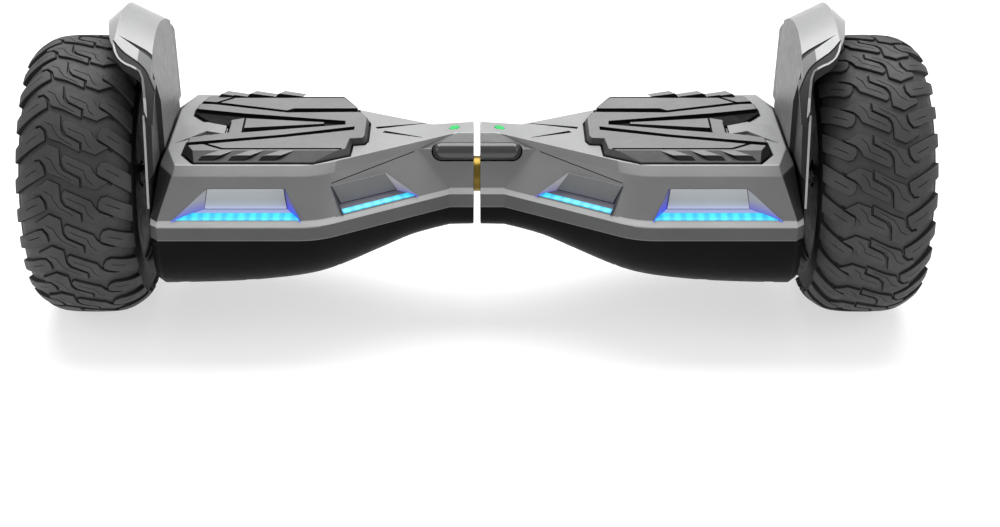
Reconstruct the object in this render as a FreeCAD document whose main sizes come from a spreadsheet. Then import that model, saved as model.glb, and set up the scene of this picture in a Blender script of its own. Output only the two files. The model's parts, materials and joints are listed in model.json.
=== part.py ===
"""Two-wheeled self-balancing board, as a parametric FreeCAD document.

Frame: +X to the right along the board, +Y to the rear, +Z up. The origin is on the ground,
midway between the wheels. The right half is modelled at +X and the left half is its mirror image,
except for the pieces that only one half has. Millimetres throughout.
"""
import FreeCAD, Part
import math
import os
import Sketcher

Vector = FreeCAD.Vector
Rotation = FreeCAD.Rotation
Placement = FreeCAD.Placement

doc = FreeCAD.newDocument("balance_board")
sheet = doc.addObject("Spreadsheet::Sheet", "Sizes")

SIZES = {
    # wheels and hub motors
    "axle_height": 108, "wheel_offset": 298, "tyre_radius": 108, "tyre_half_width": 46,
    "tyre_wall": 8, "bead_radius": 62, "rim_half_width": 34, "rim_wall": 5, "flange_height": 5,
    "axle_radius": 8, "axle_inner_reach": 92, "running_gap": 0.04, "bearing_radius": 16,
    "bearing_width": 9, "bearing_offset": 21, "magnet_depth": 4, "magnet_half_width": 14,
    "air_gap": 0.6, "stator_half_width": 13, "slot_count": 24,
    # casing of one half
    "half_gap": 2.5, "split_height": 98, "band_height": 109, "strip_height": 112,
    "chamfer_height": 140, "deck_height": 146, "cover_wall": 3, "deck_wall": 5,
    # pivot between the halves
    "pivot_radius": 14, "pivot_bore": 10, "pivot_length": 61, "bushing_radius": 17,
    "tube_radius": 20,
    # footpad
    "pad_top": 151, "pad_bottom": 145.8, "pad_fit": 0.9, "pad_recess": 2.2, "plunger_radius": 4,
    "plunger_reach": 35, "plunger_centre": 155, "board_height": 118,
    # chassis
    "plate_bottom": 93.5, "plate_thickness": 4, "clamp_start": 204, "clamp_length": 30,
    # fender
    "fender_low": 118, "fender_ridge": 131, "ridge_offset": 265, "fender_reach": 284,
    "fender_inner": 236, "fender_skin": 3.6,
    # charging port and power button, in the rear wall
    "port_offset": 185, "port_height": 84, "port_face": 105.2, "port_radius": 8,
    "socket_bore": 6, "socket_depth": 6, "button_radius": 6.8,
}
for row, (alias, value) in enumerate(SIZES.items(), start=1):
    sheet.set(f"A{row}", alias)
    sheet.set(f"B{row}", str(value))
    sheet.setAlias(f"B{row}", alias)
doc.recompute()


def size(alias):
    """The value of one cell of the sheet."""
    return float(getattr(sheet, alias))


def bind(obj, prop, value):
    """Set a property to a number, or tie it to the sheet with an expression."""
    if isinstance(value, str):
        for alias in sorted(SIZES, key=len, reverse=True):
            value = value.replace(f"<{alias}>", f"Sizes.{alias}")
        obj.setExpression(prop, value)
    else:
        obj.setExpression(prop, repr(float(value)))


def place(obj, at, rotation=None):
    """Put an object at a point whose coordinates may be expressions."""
    obj.Placement = Placement(Vector(0, 0, 0), rotation or Rotation())
    for axis, value in zip("xyz", at):
        bind(obj, f"Placement.Base.{axis}", value)


# ---------------------------------------------------------------- primitives and booleans

ALONG = {"X": Rotation(Vector(0, 1, 0), 90), "Y": Rotation(Vector(1, 0, 0), -90), "Z": Rotation()}


def box(name, corner, extent):
    obj = doc.addObject("Part::Box", name)
    for prop, value in zip(("Length", "Width", "Height"), extent):
        bind(obj, prop, value)
    place(obj, corner)
    return obj


def cylinder(name, axis, start, radius, length):
    obj = doc.addObject("Part::Cylinder", name)
    bind(obj, "Radius", radius)
    bind(obj, "Height", length)
    place(obj, start, ALONG[axis])
    return obj


def fuse(name, shapes):
    obj = doc.addObject("Part::MultiFuse", name)
    obj.Shapes = shapes
    return obj


def cut(name, base, tools):
    obj = doc.addObject("Part::Cut", name)
    obj.Base = base
    obj.Tool = tools[0] if len(tools) == 1 else fuse(name + "_tools", tools)
    return obj


def mirror(source, name):
    """The mirror image of a right-hand piece, for the left half."""
    obj = doc.addObject("Part::Mirroring", name)
    obj.Source = source
    obj.Normal = Vector(1, 0, 0)
    return obj


def feature(name, shape):
    """A piece whose shape the functions below work out from the sheet."""
    obj = doc.addObject("Part::Feature", name)
    obj.Shape = shape
    return obj


# ---------------------------------------------------------------- sketched bodies

def origin_plane(body, role):
    return next(item for item in body.Origin.OriginFeatures if item.Role == role)


def outline(body, name, plane, corners):
    """A closed polygon whose corners are tied to the sheet."""
    sketch = body.newObject("Sketcher::SketchObject", name)
    sketch.AttachmentSupport = (origin_plane(body, plane), [""])
    sketch.MapMode = "FlatFace"
    rough = [Vector(math.cos(6.28 * i / len(corners)), math.sin(6.28 * i / len(corners)), 0)
             for i in range(len(corners))]
    for index in range(len(corners)):
        sketch.addGeometry(Part.LineSegment(rough[index - 1], rough[index]), False)
    for index, (across, up) in enumerate(corners):
        following = (index + 1) % len(corners)
        sketch.addConstraint(Sketcher.Constraint("Coincident", index, 2, following, 1))
        for kind, value in (("DistanceX", across), ("DistanceY", up)):
            which = sketch.addConstraint(Sketcher.Constraint(kind, -1, 1, index, 2, 1.0))
            bind(sketch, f"Constraints[{which}]", value)
    return sketch


def turned(name, corners, at):
    """A solid of revolution about X: corners are (along the axis, radius)."""
    body = doc.addObject("PartDesign::Body", name)
    sketch = outline(body, name + "_profile", "XZ_Plane", corners)
    turn = body.newObject("PartDesign::Revolution", name + "_turn")
    turn.Profile = sketch
    turn.ReferenceAxis = (sketch, ["H_Axis"])
    turn.Angle = 360
    sketch.Visibility = False
    place(body, at)
    return body


# ---------------------------------------------------------------- plain solids from outlines

def polygon_face(points):
    return Part.Face(Part.makePolygon(points + points[:1]))


def prism_z(corners, bottom, top):
    """A plan outline of (x, y) corners, pulled up from one height to another."""
    return polygon_face([Vector(x, y, bottom) for x, y in corners]).extrude(Vector(0, 0, top - bottom))


def prism_x(corners, start, end):
    """A side outline of (y, z) corners, pulled along the board."""
    return polygon_face([Vector(start, y, z) for y, z in corners]).extrude(Vector(end - start, 0, 0))


def ruled_loft(sections):
    """A solid with flat or ruled sides through closed polygons of equal corner count."""
    return Part.makeLoft([Part.makePolygon(list(ring) + [ring[0]]) for ring in sections], True, True)


def inset(corners, distance):
    """A plan outline moved by a distance: inwards if it runs anticlockwise, else outwards."""
    moved = []
    for index, (x, y) in enumerate(corners):
        normals = []
        for (ax, ay), (bx, by) in ((corners[index - 1], (x, y)),
                                   ((x, y), corners[(index + 1) % len(corners)])):
            length = math.hypot(bx - ax, by - ay)
            normals.append(((ay - by) / length, (bx - ax) / length))
        (nx, ny), (mx, my) = normals
        scale = distance / (1 + nx * mx + ny * my)
        moved.append((x + (nx + mx) * scale, y + (ny + my) * scale))
    return moved


def between(table, at):
    """Linear interpolation in a table of (position, value) rows."""
    for (start, low), (end, high) in zip(table, table[1:]):
        if at <= end:
            return low + (high - low) * (at - start) / (end - start)
    return table[-1][1]


def tie_cylinder(axis, start, radius, length):
    """A plain cylinder for cutting holes inside the functions below."""
    direction = {"X": Vector(1, 0, 0), "Y": Vector(0, 1, 0), "Z": Vector(0, 0, 1)}[axis]
    return Part.makeCylinder(radius, length, Vector(*start), direction)


# ---------------------------------------------------------------- casing of the right half

# Plan outline of the casing at each height: half depth and length of the neck (front, rear),
# where the sides reach full depth (front, rear), that depth, then the outer corner and end.
LEVELS = {
    "split_height": ((43, 43), (21, 21), (118, 140), 105, 236, (242, 99)),
    "band_height": ((43, 43), (21, 21), (118, 140), 105, 236, (242, 99)),
    "strip_height": ((40, 40), (21, 21), (118, 140), 102, 236, (242, 96)),
    "chamfer_height": ((20, 22), (42, 46), (118, 150), 82, 226, (238, 60)),
    "deck_height": ((8.5, 12), (17, 41), (118, 156), 73, 225, (234, 40)),
}
FULL_DEPTH = 105
# Underside of the casing along the board, and its section as fractions of half depth and height.
FLOOR = [(2.5, 78), (21, 78), (58, 68), (98, 57), (129, 51), (175, 48), (236, 48), (242, 51)]
BELLY = [(1, 1), (0.985, 0.74), (0.925, 0.44), (0.83, 0.2), (0.735, 0.04), (0.676, 0)]
SCREW_STATIONS = (105, 172, 222)
SCREW_DEPTH = 0.74
AXLE_HOLE = 9.5
SHAFT_HOLE = 15.5


def plan(level):
    """The anticlockwise plan outline of the casing at one height."""
    (neck_f, neck_r), (long_f, long_r), (bend_f, bend_r), side, corner, (end_x, end_y) = LEVELS[level]
    gap = size("half_gap")
    return [(gap, neck_r), (long_r, neck_r), (bend_r, side), (corner, side), (end_x, end_y),
            (end_x, -end_y), (corner, -side), (bend_f, -side), (long_f, -neck_f), (gap, -neck_f)][::-1]


def casing_top(levels):
    """A closed solid through plan outlines: rows of (level, inset, height)."""
    return ruled_loft([[Vector(x, y, height) for x, y in inset(plan(level), distance)]
                       for level, distance, height in levels])


def half_depth(x, front):
    bend = LEVELS["split_height"][2][0 if front else 1]
    return between([(2.5, 43), (21, 43), (bend, FULL_DEPTH), (236, FULL_DEPTH), (242, 99)], x)


def belly_section(x, wall, top):
    """Half-round section of the lower casing at one place along the board."""
    floor = between(FLOOR, x) + wall
    rise = size("split_height") - floor
    ring = [Vector(x, -(half_depth(x, True) * wide - wall), floor + rise * high)
            for wide, high in BELLY]
    ring += [Vector(x, half_depth(x, False) * wide - wall, floor + rise * high)
             for wide, high in reversed(BELLY)]
    ring += [Vector(x, ring[-1].y, top), Vector(x, ring[0].y, top)]
    return ring


def casing_belly(wall, top):
    ends = (size("half_gap") + wall, 242 - wall)
    stations = [ends[0], 21, 58, 98, 118, 129, 140, 175, 236, ends[1]]
    return ruled_loft([belly_section(x, wall, top) for x in stations])


# A light window: where along its edge of the casing the opening's top, its recessed back and
# its sill start and end, from the outer bend, and how far the slope leans back over its height.
WINDOW_TOP, WINDOW_BACK, WINDOW_SILL = 133, 115.2, 112.2
WINDOW_PROUD = 1.5
PANEL_FOOT = 4
WINDOWS = {
    "outer": {"origin": (118, -102), "toward": (1, 0), "lean": 14.9,
              "top": (23.9, 82.8), "back": (22, 85.5), "sill": (10.7, 109.8)},
    "inner": {"origin": (118, -102), "toward": (-0.8426, 0.5385), "lean": 12.6,
              "top": (18.8, 66.2), "back": (26, 77), "sill": (21.5, 88.6)},
}


def window_point(window, along, inward, height):
    (ox, oy), (ex, ey) = window["origin"], window["toward"]
    nx, ny = (ey, -ex) if ex < 0 else (-ey, ex)
    return Vector(ox + ex * along + nx * inward, oy + ey * along + ny * inward, height)


def wedge(top, back, sill):
    """A solid with a top edge, a back edge and a sill edge, each a pair of points."""
    (t1, t2), (b1, b2), (s1, s2) = top, back, sill
    rings = [[t1, t2, b2, b1], [b1, b2, s2, s1], [s1, s2, t2, t1], [t1, b1, s1], [t2, s2, b2]]
    faces = []
    for ring in rings:
        if len(ring) == 4:
            faces += [polygon_face([ring[0], ring[1], ring[2]]), polygon_face([ring[0], ring[2], ring[3]])]
        else:
            faces.append(polygon_face(ring))
    solid = Part.makeSolid(Part.makeShell(faces))
    solid.fix(1e-6, 1e-6, 1e-6)
    return solid


def window_pocket(window, grow):
    """The recess of a light window, or with grow, the block of casing that surrounds it."""
    back = window["lean"] + grow
    edges = []
    for key, depth, height in (("top", back, WINDOW_TOP + grow), ("back", back, WINDOW_BACK - grow),
                               ("sill", -WINDOW_PROUD, WINDOW_SILL - grow)):
        start, end = window[key]
        edges.append([window_point(window, start - grow, depth, height),
                      window_point(window, end + grow, depth, height)])
    return wedge(*edges)


# Footpad corners, clockwise from the rear outer one: top edge, then foot edge.
PAD = [
    ((213, 55), (214, 66)), ((219, 38), (221, 39)), ((219.5, 27), (221, 26)), ((206, 8), (206.5, 6.8)),
    ((190, 1), (191, 0)), ((190, -21), (191, -20)), ((206, -26.5), (206.5, -25.5)),
    ((218.5, -31), (220, -30)), ((218.5, -45), (221, -54)), ((213, -57), (211, -71)),
    ((105.6, -57), (122, -71)), ((98.5, -53), (96, -56)), ((96.5, -33), (95, -35)),
    ((87, -32), (86, -33.5)), ((85.3, -27), (83.8, -27.5)), ((85.3, 9), (83.8, 9.5)),
    ((90, 20), (88, 21)), ((94, 24), (92.5, 25)), ((95, 34), (93.5, 37)), ((107, 54), (106, 65)),
]
PAD_FOOT = [foot for _, foot in PAD]
PAD_EDGE_HEIGHT = 1.4


def footpad_shape():
    """The rubber tread, a shallow frustum on its foot outline."""
    low = size("pad_bottom")
    edge = low + PAD_EDGE_HEIGHT
    top = ruled_loft([[Vector(x, y, edge) for x, y in PAD_FOOT],
                      [Vector(x, y, size("pad_top")) for (x, y), _ in PAD]])
    return prism_z(PAD_FOOT, low, edge).fuse(top).removeSplitter()


def plunger_places():
    centre, reach = size("plunger_centre"), size("plunger_reach")
    return [(centre, -reach), (centre, reach)]


def top_cover_shape(indicator, trim):
    """The upper casing: a shell with recesses for the lights, footpad and small trims."""
    wall, deck_wall = size("cover_wall"), size("deck_wall")
    split, deck = size("split_height"), size("deck_height")
    outer = casing_top([(level, 0, size(level)) for level in LEVELS])
    cavity = casing_top([
        ("split_height", wall, split - 1), ("band_height", wall, size("band_height")),
        ("strip_height", wall, size("strip_height") - 1),
        ("chamfer_height", wall + 1, size("chamfer_height") - 4),
        ("deck_height", wall + deck_wall, deck - deck_wall)])
    shell = outer.cut(cavity)
    for window in WINDOWS.values():
        block = window_pocket(window, wall).common(outer)
        shell = shell.fuse(block).cut(window_pocket(window, 0))
    recess = prism_z(inset(PAD_FOOT, size("pad_fit")), size("pad_bottom") - size("pad_recess"), deck + 2)
    axle_z = size("axle_height")
    holes = [recess, indicator, trim,
             tie_cylinder("X", (0, 0, axle_z), SHAFT_HOLE, 20),
             tie_cylinder("X", (225, 0, axle_z), AXLE_HOLE, 20)]
    holes += [tie_cylinder("Z", (x, y, deck - 10), size("plunger_radius") + 0.8, 12)
              for x, y in plunger_places()]
    return shell.cut(holes).removeSplitter()


def screw_places():
    return [(x, sign * SCREW_DEPTH * half_depth(x, sign < 0), between(FLOOR, x))
            for x in SCREW_STATIONS for sign in (-1, 1)]


def bottom_cover_shape():
    """The lower casing: a tray with screw bosses and a round boss in its rear wall."""
    wall, split = size("cover_wall"), size("split_height")
    outer = casing_belly(0, split)
    shell = outer.cut(casing_belly(wall, split + 1))
    port = (size("port_offset"), size("port_height"), size("port_face"))
    bosses = [tie_cylinder("Z", (x, y, floor + 1), 7, size("plate_bottom") - floor - 1)
              for x, y, floor in screw_places()]
    bosses.append(tie_cylinder("Y", (port[0], 93, port[1]), 12.5, port[2] - 93))
    shell = shell.fuse([bosses[-1]] + [boss.common(outer) for boss in bosses[:-1]])
    holes = [tie_cylinder("X", (0, 0, size("axle_height")), SHAFT_HOLE, 20),
             tie_cylinder("Y", (port[0], 80, port[1]), size("port_radius"), 40)]
    for x, y, floor in screw_places():
        holes += [tie_cylinder("Z", (x, y, floor - 3), 4.6, 10),
                  tie_cylinder("Z", (x, y, floor), 2, 60)]
    return shell.cut(holes).removeSplitter()


def cover_screws_shape():
    top = size("plate_bottom")
    screws = []
    for x, y, floor in screw_places():
        head = tie_cylinder("Z", (x, y, floor + 4.4), 4.2, 2.6)
        slot = Part.makeBox(6, 1.2, 1.4, Vector(x - 3, y - 0.6, floor + 4.4))
        shank = tie_cylinder("Z", (x, y, floor + 6.9), 1.9, top - floor - 6.9)
        screws.append(head.fuse(shank).cut(slot).removeSplitter())
    return Part.makeCompound(screws)


INDICATOR = [(12.7, 2.5), (13.6, 6.2), (19.5, 5.4), (21.9, -0.6), (20.9, -3.6), (15.3, -2.2)]
TRIM_AXIS, TRIM_RADIUS, TRIM_END = (-21, 136), 7, 26


def indicator_shape():
    """The status light, a small slanted lens set flush in the neck."""
    deck = size("deck_height")
    return prism_z(INDICATOR, deck - 3, deck + 0.4)


def trim_shape():
    """The half capsule that bridges the neck's front edge."""
    y, z = TRIM_AXIS
    gap = size("half_gap")
    bar = tie_cylinder("X", (gap, y, z), TRIM_RADIUS, TRIM_END - gap)
    return bar.fuse(Part.makeSphere(TRIM_RADIUS, Vector(TRIM_END, y, z))).removeSplitter()


def light_shape(window):
    """The light bar that lies along a window's sill."""
    lean, thick, clear = window["lean"], 1.8, 1.4
    ends = {}
    for depth in (3.2, lean - 2.2):
        part = (depth + WINDOW_PROUD) / (lean + WINDOW_PROUD)
        sill_height = WINDOW_SILL + (WINDOW_BACK - WINDOW_SILL) * part + 0.25
        ends[depth] = [(sill + (back - sill) * part, sill_height)
                       for sill, back in zip(window["sill"], window["back"])]
    (front, front_ends), (rear, rear_ends) = ends.items()
    bottom = [window_point(window, front_ends[0][0] + clear, front, front_ends[0][1]),
              window_point(window, front_ends[1][0] - clear, front, front_ends[1][1]),
              window_point(window, rear_ends[1][0] - clear, rear, rear_ends[1][1]),
              window_point(window, rear_ends[0][0] + clear, rear, rear_ends[0][1])]
    return ruled_loft([bottom, [point + Vector(0, 0, thick) for point in bottom]])


def panels_shape():
    """The two flat reflector panels at the back of the light windows."""
    panels = []
    for window in WINDOWS.values():
        depth = window["lean"] - 0.35
        (top_1, top_2), (back_1, back_2) = window["top"], window["back"]
        share = PANEL_FOOT / (WINDOW_TOP - WINDOW_BACK)
        low_1, low_2 = back_1 + (top_1 - back_1) * share, back_2 + (top_2 - back_2) * share
        corners = [(top_1 + 1, WINDOW_TOP - 3), (top_2 - 1, WINDOW_TOP - 3),
                   (low_2 - 1, WINDOW_BACK + PANEL_FOOT), (low_1 + 1, WINDOW_BACK + PANEL_FOOT)]
        rings = [[window_point(window, along, inward, z) for along, z in corners]
                 for inward in (depth - 1.2, depth)]
        panels.append(ruled_loft(rings))
    return Part.makeCompound(panels)


# ---------------------------------------------------------------- fender of the right half

# Side outlines (half depth, height) of the fender's stepped wall, from the outermost layer in,
# and the place along the board where each starts.
FENDER_LAYERS = [
    (242.4, [(60, 74), (98, 90), (101, 113), (93, 160), (86, 190), (60, 240)]),
    (239.5, [(82, 142), (72, 190), (60, 240)]),
    (236.0, [(42, 146.4), (50, 240)]),
]
FENDER_HOLLOW = [(38, 150), (46, 240)]
FENDER_WALL_END = 246
HOOD_PLAN = [(236, -92), (243, -86), (250, -62), (264, -48), (276, -28), (282, -6), (284, 12),
             (284, 52), (276, 68), (262, 80), (246, 90), (236, 92)]
HOOD_HALF_ANGLE = 65


def fender_shape():
    """The mudguard: a stepped wall beside the tyre under a ridged hood that arches over it."""
    axle_z, low, ridge = size("axle_height"), size("fender_low"), size("fender_ridge")
    skin, inner, ridge_x, reach = (size("fender_skin"), size("fender_inner"), size("ridge_offset"),
                                   size("fender_reach"))
    disc = tie_cylinder("X", (inner, 0, axle_z), low + 1.5, FENDER_WALL_END - inner)
    layers = []
    for start, half in FENDER_LAYERS:
        corners = half + [(-y, z) for y, z in reversed(half)]
        layers.append(prism_x(corners, start, FENDER_WALL_END).common(disc))
    section = [(inner, low), (ridge_x, ridge), (reach, low + 1), (reach, low + 1 - skin),
               (ridge_x, ridge - skin - 0.6), (FENDER_WALL_END, low - skin), (inner, low - skin)]
    face = polygon_face([Vector(x, 0, axle_z + radius) for x, radius in section])
    centre, axis = Vector(0, 0, axle_z), Vector(1, 0, 0)
    face.rotate(centre, axis, -HOOD_HALF_ANGLE)
    hood = face.revolve(centre, axis, 2 * HOOD_HALF_ANGLE).common(prism_z(HOOD_PLAN, axle_z, 260))
    solid = hood.fuse(layers)
    hollow = prism_x(FENDER_HOLLOW + [(-y, z) for y, z in reversed(FENDER_HOLLOW)], inner + skin, 247)
    hollow = hollow.common(tie_cylinder("X", (inner, 0, axle_z), low - skin - 2, 20))
    return solid.cut([tie_cylinder("X", (inner, 0, axle_z), 13, 20), hollow]).removeSplitter()


# ---------------------------------------------------------------- chassis and inner pieces

CHASSIS_PLAN = [(30, 34), (60, 54), (125, 93), (232, 93), (232, -93), (125, -93), (60, -54), (30, -34)]
STANDOFFS = [(120, -42), (120, 42), (190, -42), (190, 42)]
KEEL_DEPTH = 24


def chassis(side, bore):
    """The aluminium frame of one half: plate, pivot tube, axle saddle and board standoffs."""
    top = size("plate_bottom") + size("plate_thickness")
    plate = feature(f"{side}_plate", prism_z(CHASSIS_PLAN, size("plate_bottom"), top))
    tube = cylinder(f"{side}_tube", "X", (8, 0, "<axle_height>"), "<tube_radius>", 52)
    saddle = box(f"{side}_saddle", (12, -18, "<plate_bottom>"), (48, 36, 8))
    seat = box(f"{side}_seat", ("<clamp_start>", -18, "<plate_bottom>"),
               ("<clamp_length>", 36, "<axle_height> - <plate_bottom>"))
    posts = [cylinder(f"{side}_post_{number}", "Z", (x, y, "<plate_bottom>"), 3.5,
                      "<board_height> - 1.6 - <plate_bottom>")
             for number, (x, y) in enumerate(STANDOFFS)]
    keels = [box(f"{side}_keel_{number}", (70, y, f"<plate_bottom> - {KEEL_DEPTH}"), (60, 5, KEEL_DEPTH))
             for number, y in enumerate((-42, 37))]
    stops = []
    for number, y in enumerate((-14.4, 10.4)):
        stops.append(box(f"{side}_stop_{number}", (50, y, "<axle_height> + 12"), (10, 4, 14)))
        stops.append(box(f"{side}_stop_tip_{number}", (60, y, "<axle_height> + 20.6"), (6, 4, 5.4)))
    solid = fuse(f"{side}_frame", [plate, tube, saddle, seat] + posts + keels + stops)
    pivot = cylinder(f"{side}_pivot_bore", "X", (0, 0, "<axle_height>"), bore, 62)
    axle = cylinder(f"{side}_axle_groove", "X", (190, 0, "<axle_height>"), "<axle_radius>", 60)
    slot = box(f"{side}_stop_slot", (60, -22, "<plate_bottom> - 1"), (6, 44, "<plate_thickness> + 2"))
    return cut(f"{side}_frame_machined", solid, [pivot, axle, slot])


def axle_clamp():
    block = box("clamp_block", ("<clamp_start>", -18, "<axle_height>"), ("<clamp_length>", 36, 12))
    groove = cylinder("clamp_groove", "X", (190, 0, "<axle_height>"), "<axle_radius>", 60)
    bolts = [cylinder(f"clamp_bolt_{number}", "Z", (219, y, "<axle_height> + 12"), 3.4, 3)
             for number, y in enumerate((-13, 13))]
    return fuse("right_axle_clamp", [cut("clamp_body", block, [groove])] + bolts)


def sensor_board():
    return box("right_sensor_board", (112, -48, "<board_height> - 1.6"), (86, 96, 1.6))


def sensor_switches():
    """The fork-shaped light gates that the footpad's plungers reach into."""
    parts = []
    for number, (x, y) in enumerate(plunger_places()):
        for name, shift in (("near", -9.5), ("far", 5.5)):
            parts.append(box(f"gate_{number}_{name}", (x + shift, y - 4, "<board_height>"), (4, 8, 10)))
    return fuse("right_sensor_switches", parts)


def pad_plungers():
    parts = [cylinder(f"plunger_{number}", "Z", (x, y, "<board_height> + 6"), "<plunger_radius>",
                      "<pad_bottom> - <board_height> - 6")
             for number, (x, y) in enumerate(plunger_places())]
    return fuse("right_pad_plungers", parts)


def stator(name, at):
    """The slotted core of a hub motor, with its open slots cut by a polar pattern."""
    body = doc.addObject("PartDesign::Body", name)
    sketch = outline(body, name + "_profile", "XZ_Plane", [
        ("-<stator_half_width>", "<axle_radius>"), ("<stator_half_width>", "<axle_radius>"),
        ("<stator_half_width>", "<bead_radius> - <rim_wall> - <magnet_depth> - <air_gap>"),
        ("-<stator_half_width>", "<bead_radius> - <rim_wall> - <magnet_depth> - <air_gap>")])
    turn = body.newObject("PartDesign::Revolution", name + "_turn")
    turn.Profile = sketch
    turn.ReferenceAxis = (sketch, ["H_Axis"])
    turn.Angle = 360
    doc.recompute()
    slot_profile = outline(body, name + "_slot_profile", "YZ_Plane",
                           [(-2.2, 30), (2.2, 30), (2.2, 60), (-2.2, 60)])
    slot = body.newObject("PartDesign::Pocket", name + "_slot")
    slot.Profile = slot_profile
    slot.Type = "ThroughAll"
    slot.Midplane = True
    doc.recompute()
    pattern = body.newObject("PartDesign::PolarPattern", name + "_slots")
    pattern.Originals = [slot]
    pattern.Axis = (sketch, ["H_Axis"])
    pattern.Angle = 360
    bind(pattern, "Occurrences", "<slot_count>")
    body.Tip = pattern
    place(body, at)
    return body


def wheel(side):
    """The tyre and hub motor of one side; the profiles are (outwards from the board, radius)."""
    sign = -1 if side == "left" else 1
    at = ("-<wheel_offset>" if side == "left" else "<wheel_offset>", 0, "<axle_height>")
    out = lambda corners: [(f"{sign} * ({across})", up) for across, up in corners]
    rim, flange = "<rim_half_width>", "<bead_radius> + <flange_height>"
    barrel = "<bead_radius> - <rim_wall>"
    seat, near, far = "<bearing_radius>", "<bearing_offset>", "<bearing_offset> + <bearing_width>"
    tread = "<tyre_radius>"
    half_tyre = [(f"{rim} - 1", "<bead_radius>"), (f"{rim} - 1", f"{flange} + 0.6"),
                 (f"{rim} + 2.5", f"{flange} + 0.6"), ("<tyre_half_width> - 3", f"{tread} - 38"),
                 ("<tyre_half_width>", f"{tread} - 31"), ("<tyre_half_width>", f"{tread} - 24"),
                 ("<tyre_half_width> - 4", f"{tread} - 14"), ("<tyre_half_width> - 12.5", f"{tread} - 6.3"),
                 ("<tyre_half_width> - 24.5", f"{tread} - 1.2")]
    inner = [("20", f"{tread} - 10"), ("34", f"{tread} - 18"), ("<tyre_half_width> - <tyre_wall>", f"{tread} - 28"),
             ("<tyre_half_width> - <tyre_wall>", f"{tread} - 34"), ("26", f"{tread} - 41"),
             ("25", "<bead_radius>")]
    crown = [("0", tread)]
    back = [(f"-({across})", up) for across, up in reversed(half_tyre)]
    back_inner = [(f"-({across})", up) for across, up in reversed(inner)]
    parts = {
        "tyre": turned(f"{side}_tyre", out(half_tyre + crown + back + back_inner + inner), at),
        "hub_shell": turned(f"{side}_hub_shell", out([
            (f"-{rim} - 2", 11), (f"-{rim} - 2", flange), (f"-{rim} + 1", flange),
            (f"-{rim} + 1", "<bead_radius>"), (f"{rim} - 1", "<bead_radius>"), (f"{rim} - 1", flange),
            (f"{rim} + 2", flange), (f"{rim} + 2", barrel), (f"-{rim} + 3", barrel),
            (f"-{rim} + 3", f"{seat} + 4"), (f"-{near}", f"{seat} + 4"), (f"-{near}", seat),
            (f"-({far})", seat), (f"-({far})", 11)]), at),
        "hub_cover": turned(f"{side}_hub_cover", out([
            (f"{rim} + 1.5", 0), (f"{rim} + 1.5", 30), (rim, barrel), (f"{rim} - 3", barrel),
            (f"{rim} - 3", f"{seat} + 4"), (near, f"{seat} + 4"), (near, seat),
            (f"{far} + 1.5", seat), (f"{far} + 1.5", 0)]), at),
        "motor_magnets": turned(f"{side}_motor_magnets", out([
            ("-<magnet_half_width>", f"{barrel} - <magnet_depth>"),
            ("<magnet_half_width>", f"{barrel} - <magnet_depth>"), ("<magnet_half_width>", barrel),
            ("-<magnet_half_width>", barrel)]), at),
        "motor_axle": turned(f"{side}_motor_axle", out([
            ("-<axle_inner_reach>", 0), ("-<axle_inner_reach>", "<axle_radius>"),
            (far, "<axle_radius>"), (far, 0)]), at),
        "motor_stator": stator(f"{side}_motor_stator", at),
    }
    rings = []
    for label, start, end in (("inner", f"-({far})", f"-{near}"), ("outer", near, far)):
        rings.append(turned(f"{side}_{label}_bearing", out([
            (start, "<axle_radius> + <running_gap>"), (end, "<axle_radius> + <running_gap>"),
            (end, seat), (start, seat)]), at))
    parts["motor_bearings"] = fuse(f"{side}_motor_bearings", rings)
    return {f"{side}_{name}": obj for name, obj in parts.items()}


def pivot_parts():
    """The hollow shaft that joins the halves, its bushings in the right half and its stop plate."""
    z = "<axle_height>"
    shaft = cut("pivot_shaft", cylinder("shaft_bar", "X", ("-<pivot_length>", 0, z), "<pivot_radius>",
                                        "2 * <pivot_length>"),
                [cylinder("shaft_bore", "X", ("-<pivot_length>", 0, z), "<pivot_bore>",
                          "2 * <pivot_length>")])
    rings = []
    for number, start in enumerate((8, 42)):
        ring = cylinder(f"bushing_bar_{number}", "X", (start, 0, z), "<bushing_radius>", 16)
        bore = cylinder(f"bushing_bore_{number}", "X", (start, 0, z), "<pivot_radius> + <running_gap>", 16)
        rings.append(cut(f"bushing_{number}", ring, [bore]))
    bushings = fuse("pivot_bushings", rings)
    disc = cylinder("stop_disc", "X", ("<pivot_length>", 0, z), 20, 4)
    lug = box("stop_lug", ("<pivot_length>", -4, f"{z} + 14"), (4, 8, 13))
    plate = cut("pivot_stop_plate", fuse("stop_solid", [disc, lug]),
                [cylinder("stop_bore", "X", ("<pivot_length>", 0, z), "<pivot_bore>", 4)])
    return {"pivot_shaft": shaft, "pivot_bushings": bushings, "pivot_stop_plate": plate}


def battery_parts():
    """The battery of the left half and the strap that hangs it under the plate."""
    pack = doc.addObject("Part::Box", "battery_block")
    for prop, value in (("Length", 86), ("Width", 122), ("Height", 37)):
        bind(pack, prop, value)
    place(pack, (-224, -61, 54))
    rounded = doc.addObject("Part::Fillet", "battery_pack")
    rounded.Base = pack
    doc.recompute()
    upright = [index for index, edge in enumerate(pack.Shape.Edges, start=1)
               if abs(edge.tangentAt(edge.FirstParameter).z) > 0.9]
    rounded.Edges = [(index, 6, 6) for index in upright]
    outer = box("strap_outer", (-192, -64, 52.4), (22, 128, "<plate_bottom> - 52.4"))
    inner = box("strap_inner", (-192, -62.4, 53.9), (22, 124.8, "<plate_bottom> - 53.9"))
    return {"battery_pack": rounded, "battery_bracket": cut("battery_bracket", outer, [inner])}


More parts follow.
